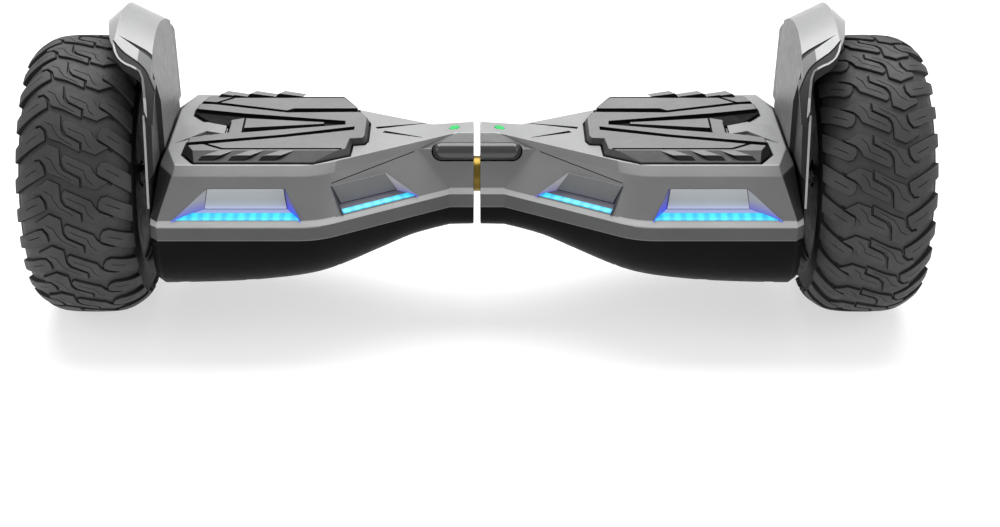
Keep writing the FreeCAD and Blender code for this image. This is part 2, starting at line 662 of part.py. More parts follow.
def charging_parts():
    """The round charging socket in the left half's rear wall and its hinged rubber cap."""
    x, z, face = "-<port_offset>", "<port_height>", "<port_face>"
    barrel = cylinder("socket_barrel", "Y", (x, f"{face} - 16", z), "<port_radius>", 16)
    nut = cylinder("socket_nut", "Y", (x, f"{face} - 15.4", z), 9.3, 3)
    bezel = cylinder("socket_flange", "Y", (x, face, z), 10.5, 1.2)
    bore = cylinder("socket_bore_hole", "Y", (x, f"{face} + 1.2 - <socket_depth>", z), "<socket_bore>",
                    "<socket_depth>")
    well = cylinder("pin_well", "Y", (x, f"{face} - 10", z), 4.8, 10)
    pins = [cylinder(f"pin_{number}", "Y", (f"{x} + {round(2.6 * math.sin(turn), 3)}", f"{face} - 11",
                                            f"{z} + {round(2.6 * math.cos(turn), 3)}"), 0.8, 5.5)
            for number, turn in enumerate((0, 2.094, 4.189))]
    hinge_y, hinge_z = f"{face} + 3.2", f"{z} + 13.5"
    leaf = box("socket_leaf", (f"{x} - 7", face, f"{z} + 6"), (14, 1.2, 9.5))
    ears = [box(f"socket_ear_{number}", (f"{x} + {shift}", face, f"{z} + 11.5"), (2.4, 5, 4))
            for number, shift in enumerate((-7, 4.6))]
    hinge_hole = cylinder("socket_hinge_hole", "X", (f"{x} - 8", hinge_y, hinge_z), 0.85, 16)
    body = cut("socket_body", fuse("socket_solid", [barrel, nut, bezel, leaf] + ears),
               [bore, well, hinge_hole])
    socket = fuse("charge_socket", [body] + pins)
    disc = cylinder("cap_disc", "Y", (x, f"{face} + 1.4", z), 10, 2)
    tab = box("cap_tab", (f"{x} - 4", f"{face} + 1.4", f"{z} + 8"), (8, 2, 5))
    bead = cylinder("cap_bead", "X", (f"{x} - 4", hinge_y, hinge_z), 1.6, 8)
    pin = cylinder("cap_pin", "X", (f"{x} - 6.8", hinge_y, hinge_z), 0.8, 13.6)
    return {"charge_socket": socket, "charge_cap": fuse("charge_cap", [disc, tab, bead, pin])}


def power_parts():
    """The control board with its heat sink, and the power switch, of the right half."""
    x, z, face = "<port_offset>", "<port_height>", "<port_face>"
    board = box("board_sheet", (132, -44, 78), (92, 88, 1.6))
    capacitors = [cylinder(f"board_capacitor_{number}", "Z", (across, depth, 79.6), 5, 11)
                  for number, (across, depth) in enumerate(((150, -24), (150, -8), (166, -24), (166, -8)))]
    main = fuse("main_board", [board] + capacitors)
    base = box("sink_base", (132, -46, 68), (92, 92, 10))
    fins = [box(f"sink_fin_{number}", (132, -46 + 11 * number, 54.4), (92, 4, 13.6)) for number in range(9)]
    sink = fuse("heat_sink", [base] + fins)
    barrel = cylinder("switch_barrel", "Y", (x, f"{face} - 18", z), "<port_radius>", 18)
    flange = cylinder("switch_flange", "Y", (x, face, z), 10, 1.4)
    well = cylinder("switch_well", "Y", (x, f"{face} - 6", z), "<button_radius> + 0.3", 8)
    switch = cut("power_switch", fuse("switch_solid", [barrel, flange]), [well])
    button = cylinder("power_button", "Y", (x, f"{face} - 4", z), "<button_radius>", 6.4)
    return {"main_board": main, "heat_sink": sink, "power_switch": switch, "power_button": button}


def build():
    """Every piece, by the name of its node."""
    nodes = {}
    indicator, trim = indicator_shape(), trim_shape()
    right_hand = {
        "top_cover": feature("right_top_cover", top_cover_shape(indicator, trim)),
        "bottom_cover": feature("right_bottom_cover", bottom_cover_shape()),
        "cover_screws": feature("right_cover_screws", cover_screws_shape()),
        "fender": feature("right_fender", fender_shape()),
        "footpad": feature("right_footpad", footpad_shape()),
        "indicator": feature("right_indicator", indicator),
        "center_trim": feature("right_center_trim", trim),
        "outer_light": feature("right_outer_light", light_shape(WINDOWS["outer"])),
        "inner_light": feature("right_inner_light", light_shape(WINDOWS["inner"])),
        "light_panels": feature("right_light_panels", panels_shape()),
        "axle_clamp": axle_clamp(),
        "sensor_board": sensor_board(),
        "sensor_switches": sensor_switches(),
        "pad_plungers": pad_plungers(),
    }
    for name, obj in right_hand.items():
        nodes[f"right_{name}"] = obj
        nodes[f"left_{name}"] = mirror(obj, f"left_{name}")
    nodes["right_chassis"] = chassis("right", "<bushing_radius>")
    nodes["left_chassis"] = mirror(chassis("left", "<pivot_radius>"), "left_chassis")
    for side in ("left", "right"):
        nodes.update(wheel(side))
    for group in (pivot_parts, battery_parts, charging_parts, power_parts):
        nodes.update(group())
    return nodes


def check_and_export(nodes):
    """Stop on any failed object, then write each piece's solids to its own file."""
    doc.recompute()
    for obj in doc.Objects:
        if "Invalid" in obj.State or "Error" in obj.State:
            raise RuntimeError(f"{obj.Name} failed: {obj.State}")
    os.makedirs("parts", exist_ok=True)
    for name, obj in sorted(nodes.items()):
        obj.Label = name
        if obj.Shape.isNull() or not obj.Shape.isValid() or not obj.Shape.Solids:
            raise RuntimeError(f"{name} has no valid solid")
        obj.Shape.exportStep(f"parts/{name}.step")
        print(f"{name}: {len(obj.Shape.Solids)} solid(s), {obj.Shape.Volume / 1000:.1f} cm3")
    print(f"{len(nodes)} nodes")


check_and_export(build())
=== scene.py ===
import json
import math

import bmesh
import bpy
import numpy as np
from mathutils import Matrix, Vector
from mathutils.bvhtree import BVHTree
from mathutils.geometry import delaunay_2d_cdt

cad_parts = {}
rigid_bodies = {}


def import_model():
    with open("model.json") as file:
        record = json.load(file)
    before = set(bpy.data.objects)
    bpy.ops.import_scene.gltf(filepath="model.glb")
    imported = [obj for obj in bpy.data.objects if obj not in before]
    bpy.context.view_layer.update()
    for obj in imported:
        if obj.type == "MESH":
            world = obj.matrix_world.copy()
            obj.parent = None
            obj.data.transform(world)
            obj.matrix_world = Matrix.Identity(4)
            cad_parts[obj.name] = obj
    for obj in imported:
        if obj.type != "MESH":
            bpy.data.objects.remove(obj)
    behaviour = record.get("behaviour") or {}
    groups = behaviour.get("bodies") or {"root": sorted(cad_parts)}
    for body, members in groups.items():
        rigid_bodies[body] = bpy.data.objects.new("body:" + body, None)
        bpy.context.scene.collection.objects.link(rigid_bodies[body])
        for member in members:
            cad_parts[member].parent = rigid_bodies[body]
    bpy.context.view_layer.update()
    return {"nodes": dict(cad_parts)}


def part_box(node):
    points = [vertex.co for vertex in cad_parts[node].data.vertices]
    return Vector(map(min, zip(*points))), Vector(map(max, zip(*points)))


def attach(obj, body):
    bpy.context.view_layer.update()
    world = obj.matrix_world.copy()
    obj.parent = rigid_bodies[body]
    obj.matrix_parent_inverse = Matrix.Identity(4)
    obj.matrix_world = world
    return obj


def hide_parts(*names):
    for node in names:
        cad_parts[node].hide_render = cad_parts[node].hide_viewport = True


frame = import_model()

# A self balancing board: two lofted casings that tilt about a common pivot, each with a footpad, an
# arched fender and a hub motor wheel. The pieces of the right half are modelled in millimetres, with
# X along the board, -Y to the front and Z up; the left half is their mirror image.

# ---------------------------------------------------------------- measures, in millimetres

MM = 0.001
SIDES = ("left", "right")


def span(node):
    """Lowest and highest corner of a CAD node, in millimetres."""
    return [Vector([round(value / MM, 2) for value in corner]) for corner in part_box(node)]


COVER_LOW, COVER_HIGH = span("right_top_cover")
TYRE_LOW, TYRE_HIGH = span("right_tyre")
PAD_LOW, PAD_HIGH = span("right_footpad")
GAP, SPLIT, DECK = COVER_LOW.x, COVER_LOW.z, COVER_HIGH.z
OUTER_END = COVER_HIGH.x
AXLE = (TYRE_LOW.z + TYRE_HIGH.z) / 2
WHEEL = (TYRE_LOW.x + TYRE_HIGH.x) / 2
TYRE_RADIUS = (TYRE_HIGH.z - TYRE_LOW.z) / 2
PAD_FLOOR, PAD_TOP = PAD_LOW.z, PAD_HIGH.z
BAND, STRIP, CHAMFER = DECK - 37, DECK - 34, DECK - 6
WALL = 3
PIVOT_BORE, AXLE_BORE = 15.5, 9.5

# ---------------------------------------------------------------- mesh tools


def area(corners):
    """Twice the signed area of a flat outline, positive if it runs anticlockwise."""
    return sum(a[0] * b[1] - a[1] * b[0] for a, b in zip(corners, corners[1:] + corners[:1]))


def grow(corners, distance):
    """A flat outline moved outwards by a distance, or inwards if that is negative, anticlockwise."""
    points = [Vector(corner) for corner in corners]
    if area(corners) < 0:
        points.reverse()
    moved = []
    for index, at in enumerate(points):
        before = (at - points[index - 1]).normalized()
        after = (points[(index + 1) % len(points)] - at).normalized()
        out = Vector((before.y, -before.x)) + Vector((after.y, -after.x))
        moved.append(at + out * distance / max(1 + before.dot(after), 0.4))
    return [tuple(point) for point in moved]


def soft_corner(before, at, after, reach):
    """Nine points of a rounded corner that starts and ends a distance before and after it."""
    at = Vector(at)
    start = at + (Vector(before) - at).normalized() * reach
    end = at + (Vector(after) - at).normalized() * reach
    turn = [step / 8 for step in range(9)]
    return [tuple(start * (1 - k) ** 2 + at * 2 * k * (1 - k) + end * k * k) for k in turn]


def loft(rings, capped=True):
    """A mesh through rings of points that all have the same number of corners."""
    form = bmesh.new()
    rows = [[form.verts.new(point) for point in ring] for ring in rings]
    for below, above in zip(rows, rows[1:]):
        for index in range(len(below)):
            after = (index + 1) % len(below)
            form.faces.new((below[index], below[after], above[after], above[index]))
    if capped:
        form.faces.new(rows[0][::-1])
        form.faces.new(rows[-1])
    bmesh.ops.recalc_face_normals(form, faces=form.faces)
    return form


def prism(corners, bottom, top):
    """An upright block on a flat outline."""
    return loft([[(x, y, height) for x, y in corners] for height in (bottom, top)])


def round_bar(axis, start, radius, length, sides=48):
    """A cylinder along X, Y or Z."""
    order = {"X": (2, 0, 1), "Y": (1, 2, 0), "Z": (0, 1, 2)}[axis]
    turn = [2 * math.pi * side / sides for side in range(sides)]
    rings = []
    for along in (0, length):
        flat = [(radius * math.cos(angle), radius * math.sin(angle), along) for angle in turn]
        rings.append([Vector(start) + Vector([point[place] for place in order]) for point in flat])
    return loft(rings)


def revolved(profile, axis_height, steps):
    """A ring about the X axis at a height, from a profile of (along, radius)."""
    rings = []
    for step in range(steps):
        angle = 2 * math.pi * step / steps
        rings.append([(along, radius * math.sin(angle), axis_height + radius * math.cos(angle))
                      for along, radius in profile])
    form = loft(rings + rings[:1], capped=False)
    bmesh.ops.remove_doubles(form, verts=form.verts, dist=1e-4)
    bmesh.ops.recalc_face_normals(form, faces=form.faces)
    return form


def hull(points):
    """The convex solid around some points."""
    form = bmesh.new()
    for point in points:
        form.verts.new(point)
    bmesh.ops.convex_hull(form, input=form.verts)
    bmesh.ops.dissolve_limit(form, angle_limit=0.01, verts=form.verts, edges=form.edges)
    bmesh.ops.recalc_face_normals(form, faces=form.faces)
    return form


def soften(form, width, sharper_than, steps=2, only=None):
    """Rounds the edges of a bmesh that turn by more than an angle in degrees and pass a test."""
    least = math.radians(sharper_than)
    edges = [edge for edge in form.edges if edge.calc_face_angle(0) > least]
    if only:
        edges = [edge for edge in edges if only(edge)]
    bmesh.ops.bevel(form, geom=edges, offset=width, segments=steps, profile=0.5, affect="EDGES",
                    clamp_overlap=False)
    return form


def as_mesh(form, material=None):
    """A mesh from a bmesh, which is freed."""
    mesh = bpy.data.meshes.new("form")
    form.to_mesh(mesh)
    form.free()
    if material:
        mesh.materials.append(material)
    return mesh


def joined(meshes):
    """One mesh that holds several, which are removed."""
    whole = bmesh.new()
    for mesh in meshes:
        whole.from_mesh(mesh)
        bpy.data.meshes.remove(mesh)
    return as_mesh(whole)


def carve(base, tools, operation="DIFFERENCE"):
    """A mesh with tool meshes cut out of it, added to it or kept in common with it."""
    scene = bpy.context.scene.collection.objects
    body = bpy.data.objects.new("carved", base)
    scene.link(body)
    helpers = []
    for tool in tools:
        helper = bpy.data.objects.new("carver", tool)
        scene.link(helper)
        helpers.append(helper)
        step = body.modifiers.new("carve", "BOOLEAN")
        step.operation, step.object, step.solver = operation, helper, "EXACT"
        step.material_mode = "TRANSFER"
    result = bpy.data.meshes.new_from_object(body.evaluated_get(bpy.context.evaluated_depsgraph_get()))
    for made in helpers + [body]:
        bpy.data.objects.remove(made)
    return result


def place(name, mesh, body, slot, material, stands_for, crease, mirrored=False):
    """Puts a mesh in the scene as a piece that rides on a body, smooth up to a crease angle."""
    mesh = mesh.copy()
    mesh.name = name
    flip = -1 if mirrored else 1
    mesh.transform(Matrix.Diagonal((flip * MM, MM, MM, 1)))
    if mirrored:
        mesh.flip_normals()
    if material:
        mesh.materials.clear()
        mesh.materials.append(material)
    mesh.shade_smooth()
    mesh.set_sharp_from_angle(angle=math.radians(crease))
    piece = bpy.data.objects.new(name, mesh)
    bpy.context.scene.collection.objects.link(piece)
    weighted = piece.modifiers.new("weighted", "WEIGHTED_NORMAL")
    weighted.keep_sharp = True
    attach(piece, body)
    if stands_for:
        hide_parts(*stands_for)
    return piece


def pair(stem, mesh, rides, slot, material, stands_for=None, crease=26):
    """The right piece and its mirror image on the left."""
    for side in SIDES:
        nodes = [f"{side}_{stands_for}"] if stands_for else []
        place(f"{side}_{stem}", mesh, f"{side}_{rides}", slot, material, nodes, crease, side == "left")
    bpy.data.meshes.remove(mesh)


# ---------------------------------------------------------------- materials


class Nodes:
    """A small helper that adds and links the nodes of one material."""

    def __init__(self, name):
        self.material = bpy.data.materials.new(name)
        self.material.use_nodes = True
        self.tree = self.material.node_tree
        self.shader = self.tree.nodes["Principled BSDF"]
        self.place = self.add("ShaderNodeTexCoord").outputs["Object"]

    def add(self, kind, **settings):
        node = self.tree.nodes.new(kind)
        for key, value in settings.items():
            setattr(node, key, value)
        return node

    def link(self, start, end):
        self.tree.links.new(start, end)

    def noise(self, scale, detail=4, stretch=None):
        node = self.add("ShaderNodeTexNoise")
        node.inputs["Scale"].default_value = scale
        node.inputs["Detail"].default_value = detail
        source = self.place
        if stretch:
            mapping = self.add("ShaderNodeMapping")
            mapping.inputs["Scale"].default_value = stretch
            self.link(source, mapping.inputs["Vector"])
            source = mapping.outputs["Vector"]
        self.link(source, node.inputs["Vector"])
        return node.outputs["Fac"]

    def ramp(self, value, stops):
        node = self.add("ShaderNodeValToRGB")
        elements = node.color_ramp.elements
        while len(elements) < len(stops):
            elements.new(0.5)
        for element, (at, colour) in zip(elements, stops):
            element.position, element.color = at, (*colour, 1)
        self.link(value, node.inputs["Fac"])
        return node.outputs["Color"]

    def spread(self, value, low, high, start=0.3, end=0.7):
        node = self.add("ShaderNodeMapRange")
        for key, number in (("From Min", start), ("From Max", end), ("To Min", low), ("To Max", high)):
            node.inputs[key].default_value = number
        self.link(value, node.inputs["Value"])
        return node.outputs["Result"]

    def mix(self, share, first, second):
        node = self.add("ShaderNodeMix", data_type="RGBA")
        self.link(share, node.inputs["Factor"])
        for socket, colour in ((node.inputs["A"], first), (node.inputs["B"], second)):
            for option in node.inputs:
                if option.type == "RGBA" and option.name == socket.name:
                    socket = option
            if isinstance(colour, tuple):
                socket.default_value = (*colour, 1)
            else:
                self.link(colour, socket)
        return [option for option in node.outputs if option.type == "RGBA"][0]

    def bump(self, value, height):
        node = self.add("ShaderNodeBump")
        node.inputs["Strength"].default_value = 0.6
        node.inputs["Distance"].default_value = height
        self.link(value, node.inputs["Height"])
        return node.outputs["Normal"]

    def colour(self, scale, low, high):
        """A base colour clouded between two shades."""
        self.link(self.ramp(self.noise(scale), [(0.3, low), (0.7, high)]), self.shader.inputs["Base Color"])

    def gloss(self, scale, low, high, stretch=None):
        """A roughness that wanders between two values."""
        self.link(self.spread(self.noise(scale, stretch=stretch), low, high), self.shader.inputs["Roughness"])

    def glow(self, light, strength):
        self.link(light, self.shader.inputs["Emission Color"])
        self.shader.inputs["Emission Strength"].default_value = strength

    def relief(self, value, height):
        self.link(self.bump(value, height), self.shader.inputs["Normal"])

    def along(self, direction):
        node = self.add("ShaderNodeVectorMath", operation="DOT_PRODUCT")
        self.link(self.place, node.inputs[0])
        node.inputs[1].default_value = direction
        return node.outputs["Value"]

    def edges(self, radius):
        """A mask of the outer edges: where a rounded normal leaves the face's own."""
        rounded = self.add("ShaderNodeBevel", samples=4)
        rounded.inputs["Radius"].default_value = radius
        shape = self.add("ShaderNodeNewGeometry")
        dot = self.add("ShaderNodeVectorMath", operation="DOT_PRODUCT")
        self.link(rounded.outputs["Normal"], dot.inputs[0])
        self.link(shape.outputs["Normal"], dot.inputs[1])
        return self.spread(dot.outputs["Value"], 1, 0, 0.86, 0.985)


def tint(colour, factor):
    """A lighter or darker shade."""
    return tuple(min(channel * factor, 1) for channel in colour)


def finish(name, colour, roughness, metallic=0.0, mottle=0.12, cloud=28, grain=1500, bump=0.00006,
           wear=0.0, coat=0.0, brushed=None, gleam=0.5):
    """A moulded, painted or metal surface: clouded colour, uneven gloss, fine grain and worn edges."""
    nodes = Nodes(name)
    shader = nodes.shader
    shades = nodes.ramp(nodes.noise(cloud),
                        [(0.3, tint(colour, 1 - mottle)), (0.7, tint(colour, 1 + mottle))])
    if wear:
        shades = nodes.mix(nodes.edges(0.0007), shades, tint(colour, 1 + wear))
    nodes.link(shades, shader.inputs["Base Color"])
    nodes.gloss(cloud * 5, roughness * 0.88, roughness * 1.14, brushed)
    nodes.relief(nodes.noise(grain, 2, brushed), bump)
    shader.inputs["Metallic"].default_value = metallic
    shader.inputs["Specular IOR Level"].default_value = gleam
    shader.inputs["Coat Weight"].default_value = coat
    shader.inputs["Coat Roughness"].default_value = 0.12
    return nodes.material


def light_strip(name, direction, dot_pitch, colour, gap_colour, strength):
    """A lit diffuser with a brighter spot over each diode along one direction."""
    nodes = Nodes(name)
    wave = nodes.add("ShaderNodeMath", operation="SINE")
    scaled = nodes.add("ShaderNodeMath", operation="MULTIPLY")
    scaled.inputs[1].default_value = 2 * math.pi / (dot_pitch * MM)
    nodes.link(nodes.along(direction), scaled.inputs[0])
    nodes.link(scaled.outputs["Value"], wave.inputs[0])
    spots = nodes.spread(wave.outputs["Value"], 0, 1, -1, 1)
    nodes.glow(nodes.ramp(spots, [(0.1, gap_colour), (0.8, colour)]), strength)
    nodes.colour(60, (0.03, 0.2, 0.3), (0.04, 0.25, 0.36))
    nodes.gloss(300, 0.2, 0.3)
    return nodes.material


def side_glow(name, low, middle, high, strength):
    """A wall of a light window with a painted glow standing in for the diodes' light, in three colours from
    the sill to its top.
    """
    nodes = Nodes(name)
    height = nodes.spread(nodes.along((0, 0, 1)), 0, 1, WINDOW_SILL * MM, WINDOW_TOP * MM)
    nodes.glow(nodes.ramp(height, [(0.03, low), (0.25, middle), (0.6, high)]), strength)
    nodes.colour(40, (0.03, 0.03, 0.05), (0.04, 0.04, 0.06))
    nodes.gloss(200, 0.3, 0.4)
    return nodes.material


def reflector(name, colour, strength):
    """A satin reflector panel with a faint lavender glow painted along its lower edge for the diodes' light.
    """
    nodes = Nodes(name)
    nodes.colour(30, tint(colour, 0.94), tint(colour, 1.06))
    height = nodes.spread(nodes.along((0, 0, 1)), 0, 1, WINDOW_BACK * MM, WINDOW_TOP * MM)
    light = nodes.ramp(height, [(0.0, (0.5, 0.5, 0.9)), (0.3, (0.1, 0.1, 0.14)), (0.5, (0, 0, 0))])
    nodes.glow(light, strength)
    nodes.gloss(160, 0.36, 0.46)
    nodes.relief(nodes.noise(1800, 2), 0.00004)
    return nodes.material


def lens(name, colour, strength):
    """A lit lens, brightest at its middle."""
    nodes = Nodes(name)
    facing = nodes.add("ShaderNodeLayerWeight")
    facing.inputs["Blend"].default_value = 0.4
    nodes.glow(nodes.ramp(facing.outputs["Facing"], [(0.0, colour), (0.8, tint(colour, 0.4))]), strength)
    nodes.colour(80, tint(colour, 0.35), tint(colour, 0.5))
    nodes.gloss(300, 0.14, 0.22)
    return nodes.material


def printed_board(name):
    """A green circuit board with square component shading."""
    nodes = Nodes(name)
    cells = nodes.add("ShaderNodeTexVoronoi", distance="CHEBYCHEV")
    cells.inputs["Scale"].default_value = 160
    nodes.link(nodes.place, cells.inputs["Vector"])
    nodes.link(nodes.ramp(cells.outputs["Distance"], [(0.1, (0.02, 0.02, 0.02)), (0.25, (0.01, 0.09, 0.04))]),
               nodes.shader.inputs["Base Color"])
    nodes.gloss(200, 0.35, 0.5)
    nodes.relief(cells.outputs["Distance"], 0.0003)
    return nodes.material


UPPER = finish("upper_casing", (0.145, 0.146, 0.148), 0.4, 0.1, 0.05, wear=0.4)
# The next four are copies of the upper casing's grey plastic with painted light: the deck lighter as if lit
# from above, a painted highlight on the strip, and painted shade on the band, the neck's facet and the outer
# end.
DECK_PAINTED_LIGHT = finish("deck_plastic_painted_light", (0.3, 0.301, 0.303), 0.36, 0.1, 0.05, wear=0.3)
STRIP_PAINTED_HIGHLIGHT = finish("strip_plastic_painted_highlight", (0.36, 0.361, 0.363), 0.34, 0.1, 0.05, wear=0.3)
BAND_PAINTED_SHADE = finish("band_plastic_painted_shade", (0.06, 0.061, 0.062), 0.42, 0.1, 0.06, wear=0.5)
END_PAINTED_SHADE = finish("end_plastic_painted_shade", (0.03, 0.03, 0.031), 0.42, 0.1, 0.1, wear=0.6)
LOWER = finish("lower_casing", (0.004, 0.004, 0.0042), 0.38, 0.0, 0.2, grain=900, bump=0.0001,
               wear=0.8, gleam=0.05)
# The fender's light grey, also used as a painted highlight along the hood's cut rim; the three darker copies
# after it are painted shade on its walls, steps and crease bands.
FENDER = finish("fender_paint", (0.3, 0.301, 0.303), 0.34, 0.1, 0.05, wear=0.3)
FENDER_FACE_SHADE = finish("fender_face_painted_shade", (0.12, 0.121, 0.122), 0.42, 0.0, 0.05, wear=0.3, gleam=0.3)
FENDER_STEP_SHADE = finish("fender_step_painted_shade", (0.06, 0.0605, 0.061), 0.42, 0.0, 0.06, wear=0.4, gleam=0.3)
FENDER_DEEP_SHADE = finish("fender_deep_painted_shade", (0.016, 0.016, 0.0165), 0.5, 0.0, 0.1, wear=0.5, gleam=0.2)
RUBBER_TOP = finish("pad_rubber", (0.16, 0.161, 0.162), 0.55, 0.0, 0.08, grain=1100, bump=0.0001, wear=0.3)
# The next three are darker copies of the pad's rubber: painted shade in the grooves, on the sloping edge and
# on the cleats.
PAD_SHADE = finish("pad_groove_painted_shade", (0.006, 0.006, 0.006), 0.8, 0.0, 0.3, grain=700, bump=0.0001, gleam=0.15)
PAD_BEVEL_SHADE = finish("pad_bevel_painted_shade", (0.036, 0.0365, 0.037), 0.5, 0.0, 0.12, grain=900, bump=0.0001,
               wear=0.6, gleam=0.2)
CLEAT_SHADE = finish("pad_wedge_painted_shade", (0.007, 0.007, 0.0072), 0.6, 0.0, 0.15, grain=900, bump=0.0001, gleam=0.15)
# A darker copy of the tyre's rubber: painted shade on the lugs' feet and on the side walls.
RUBBER_SHADE = finish("tyre_painted_shade", (0.017, 0.017, 0.0175), 0.7, 0.0, 0.25, 40, 700, 0.0002, gleam=0.15)
RUBBER = finish("tyre_rubber", (0.042, 0.042, 0.043), 0.58, 0.0, 0.2, 40, 700, 0.0002, wear=0.3, gleam=0.3)
TRIM = finish("satin_trim", (0.03, 0.03, 0.032), 0.22, 0.2, 0.15, coat=0.4)
METAL = finish("cast_aluminium", (0.42, 0.43, 0.44), 0.42, 1.0, 0.1, grain=500, bump=0.0002)
SHELL = finish("motor_shell", (0.01, 0.01, 0.0105), 0.6, 0.0, 0.2, gleam=0.1)
HUB = finish("hub_paint", (0.028, 0.028, 0.03), 0.32, 0.4, 0.2, wear=1.2)
STEEL = finish("bare_steel", (0.42, 0.43, 0.45), 0.26, 1.0, 0.1, brushed=(1, 0.1, 1))
ZINC = finish("zinc_steel", (0.3, 0.31, 0.33), 0.35, 1.0, 0.15)
GOLD = finish("gold_zinc", (0.28, 0.19, 0.04), 0.3, 1.0, 0.2, brushed=(0.1, 1, 1))
BRONZE = finish("bronze", (0.4, 0.22, 0.08), 0.4, 1.0, 0.15)
MAGNET = finish("magnet_steel", (0.2, 0.2, 0.21), 0.3, 1.0, 0.1)
WRAP = finish("battery_wrap", (0.02, 0.1, 0.24), 0.3, 0.0, 0.15, coat=0.3)
# Black plastic, also used as painted shade on recess walls, in engraved lines and below the fender's rim.
BLACK_PLASTIC_AND_SHADE = finish("black_plastic", (0.01, 0.01, 0.0105), 0.45, 0.0, 0.2, grain=900, bump=0.0001, gleam=0.25)
PORT = finish("port_metal", (0.1, 0.1, 0.105), 0.34, 0.8, 0.15)
SOFT = finish("soft_rubber", (0.022, 0.022, 0.023), 0.6, 0.0, 0.2, grain=800, bump=0.0001)
BOARD = printed_board("circuit_board")
GREEN = lens("green_lens", (0.015, 0.7, 0.16), 0.6)

# ---------------------------------------------------------------- casings

# Plan of the casing at each height: the neck in front and at the rear (half depth at the gap, half
# depth at its other end, where that is), where the sides reach full depth in front and at the rear,
# that depth, then the outer corner and the end's half depth.
EDGE = ((43, 43, 21), (43, 43, 21), (118, 140), 105, 236, (OUTER_END, 99))
PLAN = {
    SPLIT: EDGE,
    BAND: EDGE,
    STRIP: ((39.3, 39.3, 21), (40, 40, 21), (118, 140), 101, 236, (OUTER_END, 95)),
    CHAMFER: ((27.5, 27.5, 45), (24, 22, 42), (118, 150), 82, 226, (238, 60)),
    DECK: ((8.5, 8.5, 15), (14.5, 8.5, 34), (118, 156), 73, 225, (234, 40)),
}
BEND_REACH = 15
# Height of the lower casing's floor along the board.
FLOOR = [(GAP, 78), (21, 77.6), (47, 75.6), (72, 69.2), (98, 62), (121, 57.2), (146, 53), (175, 50),
         (206, 48.6), (236, 48), (OUTER_END, 50.5)]
SCREW_STATIONS = (105, 172, 222)
SCREW_DEPTH, SCREW_RECESS, SCREW_RADIUS = 0.74, 4.6, 3.9
PORT_PLACE, PORT_HEIGHT, PORT_FACE, PORT_RADIUS, PORT_BOSS = 185, AXLE - 24, 105.2, 8, 12.5


def edge_line(height, front):
    """Half of the plan outline at a height, from the gap to the outer end, as (along, depth)."""
    front_neck, rear_neck, (front_bend, rear_bend), side, corner, (end, end_depth) = PLAN[height]
    at_gap, neck, length = front_neck if front else rear_neck
    bend = front_bend if front else rear_bend
    line = [(GAP, at_gap), (length, neck)]
    line += soft_corner((length, neck), (bend, side), (corner, side), BEND_REACH)
    line += [(corner, side), (end, end_depth)]
    return line


def plan_ring(height):
    """The whole plan outline at a height, anticlockwise."""
    front = [(x, -y) for x, y in edge_line(height, True)]
    return front + edge_line(height, False)[::-1]


def plan_loft(levels):
    """A closed solid through plan outlines: rows of (level, inset, height)."""
    return loft([[(x, y, height) for x, y in grow(plan_ring(level), -inset)]
                 for level, inset, height in levels])


# A light window: the outer bend it is measured from, its direction along the casing's edge, how far
# the slope leans back, and where its top, back and sill edges start and end.
WINDOW_TOP, WINDOW_BACK, WINDOW_SILL, WINDOW_PROUD = 133, 115.2, 112.2, 1.5
WINDOWS = {
    "outer": {"origin": (118, -102), "toward": (1, 0), "lean": 14.9,
              "top": (23.9, 82.8), "back": (22, 85.5), "sill": (10.7, 109.8)},
    "inner": {"origin": (118, -102), "toward": (-0.8426, 0.5385), "lean": 12.6,
              "top": (18.8, 66.2), "back": (26, 77), "sill": (21.5, 88.6)},
}


def window_point(window, along, inward, height):
    """A point of a light window, from distances along the casing's edge and in from it."""
    (start_x, start_y), (to_x, to_y) = window["origin"], window["toward"]
    in_x, in_y = (to_y, -to_x) if to_x < 0 else (-to_y, to_x)
    return Vector((start_x + to_x * along + in_x * inward, start_y + to_y * along + in_y * inward, height))


def window_corners(window, spread=0.0):
    """The six corners of a light window's recess: top, back and sill, each start and end."""
    rows = (("top", window["lean"] + spread, WINDOW_TOP + spread),
            ("back", window["lean"] + spread, WINDOW_BACK - spread),
            ("sill", -WINDOW_PROUD, WINDOW_SILL - spread))
    return [window_point(window, window[key][end] + spread * (2 * end - 1), inward, height)
            for key, inward, height in rows for end in (0, 1)]


# Footpad corners, clockwise from the rear outer one: top edge, then foot edge.
PAD = [
    ((213, 55), (214, 66)), ((219, 38), (221, 39)), ((219.5, 27), (221, 26)), ((206, 8), (206.5, 6.8)),
    ((190, 1), (191, 0)), ((190, -21), (191, -20)), ((206, -26.5), (206.5, -25.5)),
    ((218.5, -31), (220, -30)), ((218.5, -45), (221, -54)), ((213, -57), (211, -71)),
    ((105.6, -57), (122, -71)), ((98.5, -53), (96, -56)), ((96.5, -33), (95, -35)),
    ((87, -32), (86, -33.5)), ((85.3, -27), (83.8, -27.5)), ((85.3, 9), (83.8, 9.5)),
    ((90, 20), (88, 21)), ((94, 24), (92.5, 25)), ((95, 34), (93.5, 37)), ((107, 54), (106, 65)),
]
PAD_FOOT = [foot for _, foot in PAD]
INDICATOR = [(13.4, 2.4), (14.2, 5.4), (19.2, 4.8), (21.5, 0), (20.6, -2.4), (15.6, -1.3)]
CAPSULE_DEPTH, CAPSULE_HEIGHT, CAPSULE_RADIUS, CAPSULE_END = -27, DECK - 8, 7, 27
# The deck's raised tongue in the footpad's outer notch: (along, depth, rise over the deck).
TONGUE = [(230, 6, 0.05), (209.5, 6, 2.8), (193.4, -1.8, 2.8), (193.4, -18.4, 2.8), (207.5, -12.5, 2.8),
          (230, -31, 0.05)]
